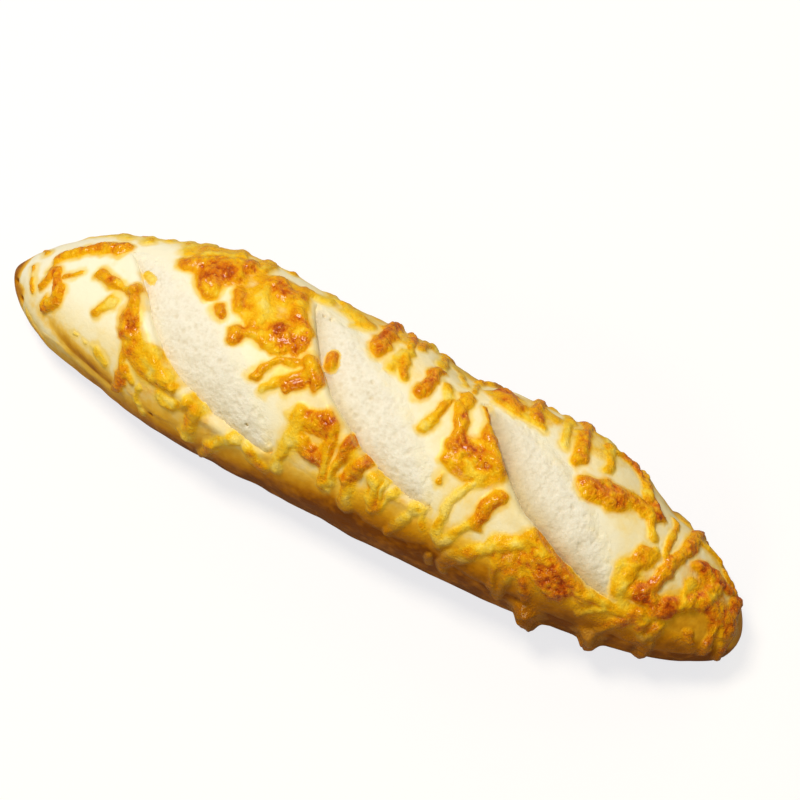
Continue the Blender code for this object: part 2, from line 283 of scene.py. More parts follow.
def nearest_on_path(points, path):
    """Distance in mm to a path, and how far along it from 0 to 1."""
    best = np.full(len(points), 1e9)
    where = np.zeros(len(points))
    for i in range(len(path) - 1):
        start, run = path[i], path[i + 1] - path[i]
        part = np.clip((points - start) @ run / max(run @ run, 1e-9), 0, 1)
        distance = np.linalg.norm(points - start - part[:, None] * run, axis=1)
        closer = distance < best
        best = np.where(closer, distance, best)
        where = np.where(closer, (i + part) / (len(path) - 1), where)
    return best, where


def crease_share(points):
    """How deep in the crease, and how high on the roll below it, from 0 to 1."""
    x, turn = np.array(CREASE, float).T
    distance, where = nearest_on_path(points, loaf_points(x, turn))
    fade = np.clip(4 * where * (1 - where), 0, 1) ** CREASE_FADE
    below, _ = nearest_on_path(points, loaf_points(x, turn + ROLL_OFFSET / DEGREE_ARC))
    return fade * np.exp(-(distance / CREASE_REACH) ** 2), fade * np.exp(-(below / ROLL_REACH) ** 2)


def hole_share(points):
    """How deep in one of the small holes, from 0 to 1, and that depth in mm."""
    share = np.zeros(len(points))
    depth = np.zeros(len(points))
    for x, turn, radius, deep in CRUST_HOLES:
        here = np.exp(-(distance_to(points, x, turn) / radius) ** 2)
        share = np.maximum(share, here)
        depth = np.maximum(depth, deep * here)
    return share, depth


def skin_lumps(flat):
    """Unevenness of the skin in mm at points of the bare loaf."""
    crease, roll = crease_share(flat)
    on_side = smooth_step(*SIDE_TOP, flat[:, 2]) * smooth_step(*SIDE_FOOT, flat[:, 2])
    lumps = lumps_of(flat, SKIN_LUMPS) + lumps_of(flat, SIDE_LUMPS) * on_side
    return lumps - CREASE_DEPTH * crease + ROLL_HEIGHT * roll - hole_share(flat)[1]


def crust_shape(x, turn, under_crumb=True):
    """Points of the crust with its lumps, lips and slashes, in mm, and its normals."""
    base = loaf_points(x, turn)
    normal = loaf_normals(x, turn)
    flat = base.reshape(-1, 3)
    lumps = skin_lumps(flat).reshape(x.shape)
    height = lumps
    slide = np.zeros_like(x)
    for slash in SLASHES:
        along, from_lip, from_smooth = slash_frame(slash, x, turn)
        on = np.abs(along) < 1.0
        fade = np.where(on, 1 - np.clip(np.abs(along), 0, 1) ** LIP_FADE, 0)
        crest_reach = np.where(from_lip < -LIP_CREST, LIP_REACH, LIP_FACE)
        crest = np.exp(-((from_lip + LIP_CREST) / crest_reach) ** 2)
        height = height + np.where(on & (from_smooth > 0), fade * LIP_HEIGHT * crest, 0)
        opened = np.where(on, smooth_step(*LIP_DROP, from_lip), 0)
        easing = np.where(on, smooth_step(0, SMOOTH_EASE, from_smooth), 0)
        floor = lumps * (1 - easing) + slash_floor(slash, along, from_lip, from_smooth) * easing
        if under_crumb:
            sunk = smooth_step(0, LIP_DROP[1], from_lip) * smooth_step(0, SMOOTH_EASE, from_smooth)
            floor = floor - CRUST_UNDER_CRUMB * np.where(on, sunk, 0)
        inside = opened * (from_smooth > 0)
        height = height * (1 - inside) + floor * inside
        overhang = np.exp(-((from_lip + OVERHANG_PLACE) / OVERHANG_REACH) ** 2)
        slide = slide + np.where(on, fade * LIP_OVERHANG * overhang, 0)
    # The overhang slides the lip's edge sideways, over the crumb.
    moved = loaf_points(x + slide * OVERHANG_RUN[0], turn + slide * OVERHANG_RUN[1] / DEGREE_ARC)
    low = smooth_step(0.0, FOOT_EASE, flat[:, 2].reshape(x.shape))
    points = moved + normal * (height * np.where(np.abs(turn) > FOOT_TURN, low, 1))[..., None]
    points[..., 2] = np.maximum(points[..., 2], 0)
    return points, normal


def skin_object(name, points, faces, corner_uv):
    """Mesh object in metres, shaded smooth, with its own layout for baking."""
    mesh = bpy.data.meshes.new(name)
    mesh.from_pydata((points * MM).tolist(), [], faces)
    layout = mesh.uv_layers.new(name="OFBake")
    layout.data.foreach_set("uv", corner_uv.astype(np.float32).ravel())
    mesh.shade_smooth()
    mesh.update()
    # A thin sheet gets its thickness later, so its open edges are kept sharp.
    edge_of_corner = np.zeros(len(mesh.loops), np.int32)
    mesh.loops.foreach_get("edge_index", edge_of_corner)
    faces_at_edge = np.bincount(edge_of_corner, minlength=len(mesh.edges))
    mesh.edges.foreach_set("use_edge_sharp", faces_at_edge == 1)
    obj = bpy.data.objects.new(name, mesh)
    bpy.context.scene.collection.objects.link(obj)
    return obj


def paint(obj, name, values):
    """Store one number a vertex, for the piece's material to read."""
    layer = obj.data.attributes.new(name, "FLOAT", "POINT")
    layer.data.foreach_set("value", np.asarray(values, np.float32).ravel())


def tip_spacing(count):
    """x stations, even along the loaf and closer towards the tips."""
    s = np.linspace(-1, 1, count)
    edge = np.clip((1 - np.abs(s)) / TIP_SHARE, 0, 1)
    crowded = np.where(edge < 1, 1 - TIP_SHARE * edge ** TIP_CROWDING, np.abs(s))
    return np.sign(s) * crowded * LENGTH / 2


around_loaf = np.concatenate([
    np.linspace(-CRUST_TOP_TURN, CRUST_TOP_TURN, CRUST_TOP_STEPS, endpoint=False),
    np.linspace(CRUST_TOP_TURN, 360 - CRUST_TOP_TURN, CRUST_LOW_STEPS, endpoint=False),
])
crust_x, crust_turn = np.meshgrid(
    tip_spacing(CRUST_STATIONS)[1:-1], (around_loaf + 180) % 360 - 180, indexing="ij")
skin, _ = crust_shape(crust_x, crust_turn)
tips = loaf_points(np.array([-LENGTH / 2, LENGTH / 2]), np.zeros(2))
stations, steps = crust_x.shape

# Faces: quads between the stations, and a fan of triangles at each tip, which
# takes no room in the layout for baking.
row, column = np.meshgrid(np.arange(stations - 1), np.arange(steps), indexing="ij")
after = (column + 1) % steps
quads = np.stack([row * steps + column, row * steps + after,
                  (row + 1) * steps + after, (row + 1) * steps + column], -1).reshape(-1, 4)
u = (row / stations)[..., None] + np.array([0, 0, 1, 1]) / stations
v = (column / steps)[..., None] + np.array([0, 1, 1, 0]) / steps
ring = np.arange(steps)
after = (ring + 1) % steps
last = (stations - 1) * steps
left_fan = np.stack([after, ring, np.full(steps, stations * steps)], -1)
right_fan = np.stack([last + ring, last + after, np.full(steps, stations * steps + 1)], -1)
crust = skin_object(
    "crust", np.concatenate([skin.reshape(-1, 3), tips]),
    quads.tolist() + left_fan.tolist() + right_fan.tolist(),
    np.concatenate([np.stack([u, v], -1).reshape(-1, 2), np.zeros((2 * steps * 3, 2))]))

# Browning of the sides, partly painted shade: the turns at which it sets in and is full, how much
# earlier they come towards the right and at its tip, how much earlier the far
# side browns, and how strong it is at the left end and gains from there.
SIDE_START, START_EARLIER, START_EARLIER_AT_TIP = 50, 15, 28
SIDE_FULL, FULL_EARLIER = 106, 31
FAR_EARLIER = 18
SIDE_BAKE_AND_SHADE, SIDE_BAKE_AND_SHADE_GAIN = 0.18, 0.80
# Where the loaf's right half sets in, its right tip, and the gain from the left.
TO_RIGHT = (-50, 30)
TO_RIGHT_TIP = (98, 130)
FROM_LEFT = (-135, -50)
# Browned patches at the tips: how brown, and the x and the turns over which each
# sets in. Those that run right round set in before the first turn.
ALL_ROUND = (-181, -180)
BROWNED = (
    (0.32, (104, 124), (-22, -52)),
    (0.54, (104, 124), (-10, 22)),
    (0.62, (128, 136), ALL_ROUND),
    (0.78, (-125, -131), (36, 56)),
    (0.86, (-131.5, -136.0), (-80, -40)),
)
# Painted shade over the crease, in it and in the small holes; brown near the floor, partly painted shade.
SHADE_REACH = 7.5
SHADE_EDGE = (-1.5, 0.5)
SHADE_LEFT = (-124, -92)
SHADE_RIGHT = (-66, -80)
CREASE_SHADE = 0.72
CREASE_PAINTED_SHADE = 0.30
ROLL_PALER = 0.3
HOLE_PAINTED_SHADE = 1.4
FOOT_BAKE_AND_SHADE = (11, 0)
# How far from a slash's smooth edge the skin was stretched, and where along it.
STRETCHED_REACH = 7.0
STRETCHED_ENDS = (1.1, 0.7)


def patches_at(x, turn, rows):
    """Strongest of several patches: each its strength and where it sets in."""
    return np.maximum.reduce([
        strength * smooth_step(*over_x, x) * smooth_step(*over_turn, turn)
        for strength, over_x, over_turn in rows])


def bake_and_shade_at(x, turn, height_mm):
    """How browned the crust is, with painted shade: most low on the sides and towards the right end."""
    to_right = smooth_step(*TO_RIGHT, x)
    start = SIDE_START - START_EARLIER * to_right - START_EARLIER_AT_TIP * smooth_step(*TO_RIGHT_TIP, x)
    full = SIDE_FULL - FULL_EARLIER * to_right
    steep = np.where(turn < 0, -turn - FAR_EARLIER, turn)
    side = (SIDE_BAKE_AND_SHADE + SIDE_BAKE_AND_SHADE_GAIN * smooth_step(*FROM_LEFT, x)) * smooth_step(start, full, steep)
    points = loaf_points(x, turn)
    crease, roll = crease_share(points)
    crease_x, crease_turn = np.array(CREASE, float).T
    above = (np.interp(x, crease_x, crease_turn) - turn) * DEGREE_ARC
    shade = np.exp(-(np.maximum(above, 0) / SHADE_REACH) ** 2) * smooth_step(*SHADE_EDGE, above)
    shade *= smooth_step(*SHADE_LEFT, x) * smooth_step(*SHADE_RIGHT, x)
    return np.maximum.reduce([
        side * (1 - ROLL_PALER * roll), CREASE_PAINTED_SHADE * crease, CREASE_SHADE * shade,
        HOLE_PAINTED_SHADE * hole_share(points)[0], smooth_step(*FOOT_BAKE_AND_SHADE, height_mm),
        patches_at(x, turn, BROWNED)])


def stretched_at(slash, x, turn):
    """How much the skin beside a slash's smooth edge was stretched, so it stayed pale."""
    along, from_lip, from_smooth = slash_frame(slash, x, turn)
    beside = smooth_step(-STRETCHED_REACH, 0.0, from_smooth) * (from_lip > 0)
    return beside * smooth_step(*STRETCHED_ENDS, np.abs(along))


# What the colours below read: how much each spot was stretched, and how browned it
# is with painted shade added. Both tips are painted apart, after the rest. The cheese's stain comes with
# it.
bare_x, bare_turn = crust_x.ravel(), crust_turn.ravel()
fresh = np.max([stretched_at(slash, bare_x, bare_turn) for slash in SLASHES], axis=0)
paint(crust, "fresh", np.append(fresh, [0, 0]))
paint(crust, "bake_and_shade", np.append(bake_and_shade_at(bare_x, bare_turn, skin[..., 2].ravel()), [1, 1]))


def connect(tree, value, socket):
    """Link another node's output to a socket, or set the socket's own value."""
    if isinstance(value, bpy.types.NodeSocket):
        tree.links.new(value, socket)
    else:
        socket.default_value = value


def add_node(tree, kind, settings=None, **sockets):
    """Add a shader node. Its sockets are named with underscores for spaces."""
    node = tree.nodes.new("ShaderNode" + kind)
    for name, value in (settings or {}).items():
        setattr(node, name, value)
    for name, value in sockets.items():
        connect(tree, value, node.inputs[name.replace("_", " ")])
    return node


def maths(tree, operation, *values):
    """Result of a Math node."""
    node = add_node(tree, "Math", {"operation": operation})
    for value, socket in zip(values, node.inputs):
        connect(tree, value, socket)
    return node.outputs[0]


def times(tree, first, second):
    """First times second."""
    return maths(tree, "MULTIPLY", first, second)


def plus(tree, base, value, scale):
    """Base plus value times scale."""
    return maths(tree, "MULTIPLY_ADD", value, scale, base)


def rise(tree, value, low, high):
    """0 below low, 1 above high and smooth between."""
    settings = {"interpolation_type": "SMOOTHSTEP"}
    return add_node(tree, "MapRange", settings, Value=value, From_Min=low, From_Max=high).outputs["Result"]


def mixed(tree, share, first, second):
    """Second colour over first by share."""
    node = add_node(tree, "Mix", {"data_type": "RGBA"})
    # These are the colour sockets of the node, which has others of the same names.
    connect(tree, share, node.inputs[0])
    connect(tree, first, node.inputs[6])
    connect(tree, second, node.inputs[7])
    return node.outputs[2]


def toned(tree, value, tones):
    """Colour that runs through (value, colour) pairs."""
    node = add_node(tree, "ValToRGB", Fac=value)
    ramp = node.color_ramp
    while len(ramp.elements) < len(tones):
        ramp.elements.new(0.5)
    for element, (position, tone) in zip(ramp.elements, tones):
        element.position = position
        element.color = tone
    return node.outputs["Color"]


def painted(tree, name):
    """What paint() stored under this name."""
    return add_node(tree, "Attribute", {"attribute_name": name}).outputs["Fac"]


def linear(red, green, blue):
    """Colour for a shader from the 0-255 values of a screen."""
    shares = [value / 255 for value in (red, green, blue)]
    return tuple(c / 12.92 if c < 0.0404 else ((c + 0.055) / 1.055) ** 2.4 for c in shares) + (1.0,)


def new_group(name, inputs, outputs):
    """Node group with named inputs and outputs."""
    group = bpy.data.node_groups.new(name, "ShaderNodeTree")
    for socket, value in inputs.items():
        kind = "NodeSocketColor" if isinstance(value, tuple) else "NodeSocketFloat"
        group.interface.new_socket(socket, in_out="INPUT", socket_type=kind).default_value = value
    for socket, kind in outputs.items():
        group.interface.new_socket(socket, in_out="OUTPUT", socket_type="NodeSocket" + kind)
    return group, group.nodes.new("NodeGroupInput").outputs, group.nodes.new("NodeGroupOutput").inputs


def use_group(tree, group, **sockets):
    """Place a node group and give its outputs."""
    node = add_node(tree, "Group", {"node_tree": group})
    for name, value in sockets.items():
        connect(tree, value, node.inputs[name])
    return node.outputs


def new_material(name, **values):
    """Material whose shader has these values on its own sockets."""
    material = bpy.data.materials.new(name)
    material.use_nodes = True
    shader = material.node_tree.nodes["Principled BSDF"]
    for socket, value in values.items():
        shader.inputs[socket.replace("_", " ")].default_value = value
    return material, material.node_tree, shader


def emboss(tree, shader, height):
    """Fine relief, in mm, on a material's shader."""
    bump = add_node(tree, "Bump", Height=height, Distance=MM, Strength=1.0)
    tree.links.new(bump.outputs["Normal"], shader.inputs["Normal"])


# Grain, in every part of the bread: noise about 0, mostly from -1 to 1, with
# lumps of a size in mm.
grain_group, given, result = new_group("grain", {"Size": 1.0, "Detail": 2.0}, {"Lumps": "Float"})
tree = grain_group
noise = add_node(
    tree, "TexNoise", Vector=add_node(tree, "TexCoord").outputs["Object"],
    Scale=maths(tree, "DIVIDE", 1 / MM, given["Size"]), Detail=given["Detail"], Roughness=0.55)
tree.links.new(maths(tree, "MULTIPLY_ADD", noise.outputs["Fac"], 3.2, -1.6), result["Lumps"])


def grain(tree, size, detail=2.0):
    """Lumps of the grain group."""
    return use_group(tree, grain_group, Size=size, Detail=detail)["Lumps"]


# Crust colour: cream where the oven only dried it, stained yellow by the fat of
# the cheese, and browner the more it was baked and the deeper its painted shade.
CREAM = linear(254, 245, 214)
BUTTER = linear(250, 216, 116)
FRESH_SKIN = linear(250, 240, 212)
BAKE_AND_SHADE_TONES = (
    (0.00, linear(251, 224, 144)),
    (0.25, linear(249, 200, 80)),
    (0.50, linear(230, 165, 34)),
    (0.70, linear(203, 130, 8)),
    (0.85, linear(171, 100, 1)),
    (1.00, linear(131, 68, 1)),
)
crust_colour, given, result = new_group(
    "crust_colour", {"Stain": 0.0, "Bake": 0.0, "Plain": CREAM}, {"Colour": "Color"})
tree = crust_colour
blotch = grain(tree, 14.0, 3.0)
speckle = grain(tree, 2.2)
stain = plus(tree, plus(tree, given["Stain"], blotch, 0.20), speckle, 0.09)
colour = mixed(tree, rise(tree, stain, 0.15, 1.10), given["Plain"], BUTTER)
bake_and_shade = plus(tree, plus(tree, given["Bake"], blotch, 0.16), speckle, 0.06)
mottle = times(tree, grain(tree, 5.0), given["Bake"])
bake_and_shade = plus(tree, bake_and_shade, mottle, 0.20)
colour = mixed(tree, rise(tree, bake_and_shade, 0.02, 0.30), colour, toned(tree, bake_and_shade, BAKE_AND_SHADE_TONES))
tree.links.new(colour, result["Colour"])

# Dry and matt, with a yellow gleam from the fat that the cheese left on it.
material, tree, shader = new_material(
    "crust", Roughness=0.40, Specular_IOR_Level=0.16, Specular_Tint=(1.0, 0.80, 0.22, 1.0))
plain = mixed(tree, times(tree, painted(tree, "fresh"), 0.7), CREAM, FRESH_SKIN)
colour = use_group(
    tree, crust_colour, Plain=plain, Stain=painted(tree, "stain"), Bake=painted(tree, "bake_and_shade"))["Colour"]
tree.links.new(colour, shader.inputs["Base Color"])
emboss(tree, shader, plus(tree, times(tree, grain(tree, 0.7), 0.018), grain(tree, 2.4, 3.0), 0.08))
crust.data.materials.append(material)

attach(crust, "root")
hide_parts("loaf")

# ---------------------------------------------------------------------------
# Crumb. The soft white inside, which bulges up in each slash as it opens in the
# oven: a porous, leaf-shaped patch that tucks under the lip on one side and
# meets the crust nearly flush on the other.

CRUMB_NAMES = ("crumb_left", "crumb_middle", "crumb_right")
# Step of its net, how far it tucks under the lip and runs past the smooth edge,
# and its thickness.
CRUMB_STEP = 0.46
CRUMB_TUCK = 0.9
CRUMB_FEATHER = 2.6
CRUMB_THICKNESS = 1.0
# How much of a slash's length the crumb fills, how far it sinks past the smooth
# edge and at both ends, and over which mm or share of the length.
CRUMB_ENDS = (0.01, 0.99)
EDGE_SINK, EDGE_SINK_REACH = 0.7, 2.6
END_SINK, END_SINK_FROM = 1.2, 0.92
# Unevenness: size across, height and seed. It sets in over some mm.
CRUMB_LUMPS = ((6.0, 0.26, 21), (2.6, 0.20, 22), (1.3, 0.10, 23))
CRUMB_LUMPS_EASE = 3.0
# Pores, from fine to wide: spacing, seed, how many places hold one, radius as a
# share of the spacing, depth, and how dark their painted shade is.
PORES = (
    (1.5, 31, 0.70, 0.50, 0.20, 0.35),
    (3.4, 41, 0.42, 0.28, 0.36, 0.60),
    (7.5, 51, 0.45, 0.10, 0.90, 1.00),
)
# The open pores that stand out: x, turn and radius. They go twice as deep as the
# widest others, and take the darkest painted shade.
OPEN_PORES = ((-25, -33, 0.9), (-22.3, -32, 0.7), (-29, 48, 0.6))
OPEN_PORE_DEPTH = 2.0
# How dark the painted shade on the crumb is under each slash's lip, and how far that reaches in mm.
LIP_SHADES = ((0.34, 3.2), (0.60, 4.4), (0.88, 7.0))
# The dried rim: from how many mm inside the smooth edge, and from which share of
# the length.
RIM_REACH = 8.5
RIM_ENDS = (0.80, 0.97)


def pits(points, size, seed, share, narrow):
    """Depth from 0 to 1 of round pits, scattered one to a cell of size mm."""
    spot = points / size
    cell = np.floor(spot).astype(np.int64)
    depth = np.zeros(len(points))
    for i in range(27):
        near = cell + np.array([i % 3 - 1, i // 3 % 3 - 1, i // 9 - 1])
        place = near + np.stack([0.15 + 0.7 * hash_of(near, seed + k) for k in range(3)], -1)
        radius = narrow * (0.5 + hash_of(near, seed + 3))
        there = hash_of(near, seed + 4) < share
        distance = np.linalg.norm(spot - place, axis=1) / radius
        depth = np.maximum(depth, np.where(there, np.clip(1 - distance ** 2, 0, 1), 0))
    return depth


def slash_places(slash, along_mm, across_mm):
    """x and turn of places given in mm along and across a slash."""
    run, _ = slash_run(slash)
    x = slash.x0 + along_mm * run[0] + across_mm * run[1]
    turn = slash.turn0 + (along_mm * run[1] - across_mm * run[0]) / DEGREE_ARC
    return x, turn


def crumb_height(slash, x, turn, flat):
    """Height of the crumb with its pores, in mm above the bare loaf, and the painted shade in its pores.
    """
    along, from_lip, from_smooth = slash_frame(slash, x, turn)
    easing = smooth_step(0, SMOOTH_EASE, from_smooth)
    lumps = skin_lumps(flat).reshape(x.shape)
    height = lumps * (1 - easing) + slash_floor(slash, along, from_lip, from_smooth) * easing
    pores = [pits(flat, *row[:4]) for row in PORES]
    for at_x, at_turn, radius in OPEN_PORES:
        distance = distance_to(flat, at_x, at_turn)
        pores[-1] = np.maximum(pores[-1], OPEN_PORE_DEPTH * np.clip(1 - (distance / radius) ** 2, 0, 1))
    relief = lumps_of(flat, CRUMB_LUMPS)
    painted_pore_shade = np.zeros(len(flat))
    for pore, (*_, depth, darkness) in zip(pores, PORES):
        relief = relief - depth * pore
        painted_pore_shade = np.maximum(painted_pore_shade, darkness * pore)
    height = height + relief.reshape(x.shape) * smooth_step(0, CRUMB_LUMPS_EASE, from_smooth)
    height = height - EDGE_SINK * smooth_step(0, EDGE_SINK_REACH, -from_smooth)
    height = height - END_SINK * smooth_step(END_SINK_FROM, 1.0, np.abs(along))
    return height, painted_pore_shade


def sheet_faces(rows, columns):
    """Quads of a grid and the layout of each quad's corners."""
    row, column = np.meshgrid(np.arange(rows - 1), np.arange(columns - 1), indexing="ij")
    first = row * columns + column
    faces = np.stack([first, first + 1, first + columns + 1, first + columns], -1).reshape(-1, 4)
    u = (row / (rows - 1))[..., None] + np.array([0, 0, 1, 1]) / (rows - 1)
    v = (column / (columns - 1))[..., None] + np.array([0, 1, 1, 0]) / (columns - 1)
    return faces, np.stack([u, v], -1).reshape(-1, 4, 2)


def thicken(sheet, thickness_mm):
    """Give a sheet its thickness, downwards."""
    solid = sheet.modifiers.new("thickness", "SOLIDIFY")
    solid.thickness = thickness_mm * MM
    solid.offset = -1


crumbs = []
crumb_places = []
for slash, name, (darkness, shade_reach) in zip(SLASHES, CRUMB_NAMES, LIP_SHADES):
    _, length = slash_run(slash)
    along_mm = np.linspace(*CRUMB_ENDS, round(length / CRUMB_STEP)) * length
    middle_x, middle_turn = slash_places(slash, along_mm, np.zeros_like(along_mm))
    _, lip_edge, smooth_edge = slash_frame(slash, middle_x, middle_turn)
    widest = slash.lip_side + slash.smooth_side + CRUMB_TUCK + CRUMB_FEATHER
    low = (-lip_edge - CRUMB_TUCK)[:, None]
    high = (smooth_edge + CRUMB_FEATHER)[:, None]
    across_mm = low + (high - low) * np.linspace(0, 1, round(widest / CRUMB_STEP))
    x, turn = slash_places(slash, along_mm[:, None], across_mm)
    base = loaf_points(x, turn)
    height, painted_pore_shade = crumb_height(slash, x, turn, base.reshape(-1, 3))
    points = base + loaf_normals(x, turn) * height[..., None]
    # This grid runs the other way round from the crust's, so its faces are turned over.
    faces, face_uv = sheet_faces(*x.shape)
    crumb = skin_object(name, points.reshape(-1, 3), faces[:, ::-1].tolist(), face_uv[:, ::-1])
    along, from_lip, from_smooth = slash_frame(slash, x, turn)
    rim = np.maximum(smooth_step(RIM_REACH, 0.0, from_smooth), smooth_step(*RIM_ENDS, np.abs(along)))
    paint(crumb, "painted_pore_shade", painted_pore_shade)
    paint(crumb, "rim", rim)
    # Painted shade on the crumb under the lip.
    paint(crumb, "shaded", darkness * np.exp(-(np.maximum(from_lip, 0) / shade_reach) ** 2))
    thicken(crumb, CRUMB_THICKNESS)
    crumbs.append(crumb)
    crumb_places.append((x.ravel(), turn.ravel()))
    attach(crumb, "root")
    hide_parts("loaf")

# Crumb colour: white, with beige flecks, painted shade in its pores and under the lip, and the
# crust's cream where it has dried along its edge.
CRUMB_WHITE = linear(246, 237, 216)
PORE_SHADE_AND_FLECK = linear(214, 194, 156)
LIP_PAINTED_SHADE = linear(206, 178, 118)
material, tree, shader = new_material(
    "crumb", Roughness=0.72, Specular_IOR_Level=0.35, Subsurface_Weight=0.10,
    Subsurface_Radius=(1.0, 0.85, 0.7), Subsurface_Scale=0.0006)
fleck = maths(tree, "ADD", grain(tree, 1.4, 3.0), times(tree, grain(tree, 6.0), 0.5))
fleck = times(tree, rise(tree, fleck, -0.4, 1.4), 0.55)
shade = maths(tree, "MAXIMUM", times(tree, painted(tree, "painted_pore_shade"), 0.85), fleck)
colour = mixed(tree, shade, CRUMB_WHITE, PORE_SHADE_AND_FLECK)
colour = mixed(tree, painted(tree, "shaded"), colour, LIP_PAINTED_SHADE)
rim = plus(tree, painted(tree, "rim"), grain(tree, 2.5), 0.22)
edge = use_group(tree, crust_colour, Plain=FRESH_SKIN, Stain=painted(tree, "stain"))["Colour"]
colour = mixed(tree, rise(tree, rim, 0.1, 0.9), colour, edge)
tree.links.new(colour, shader.inputs["Base Color"])
emboss(tree, shader, plus(tree, times(tree, grain(tree, 0.45), 0.03), grain(tree, 1.0), 0.09))
for crumb in crumbs:
    crumb.data.materials.append(material)

# ---------------------------------------------------------------------------
# Cheese. Coarse shreds scattered on the dough and melted in the oven: yellow
# where the melt is thin, blistered orange to brown where it stands thick. It is
# one field of heights baked onto the crust, cut into pieces along the slashes.

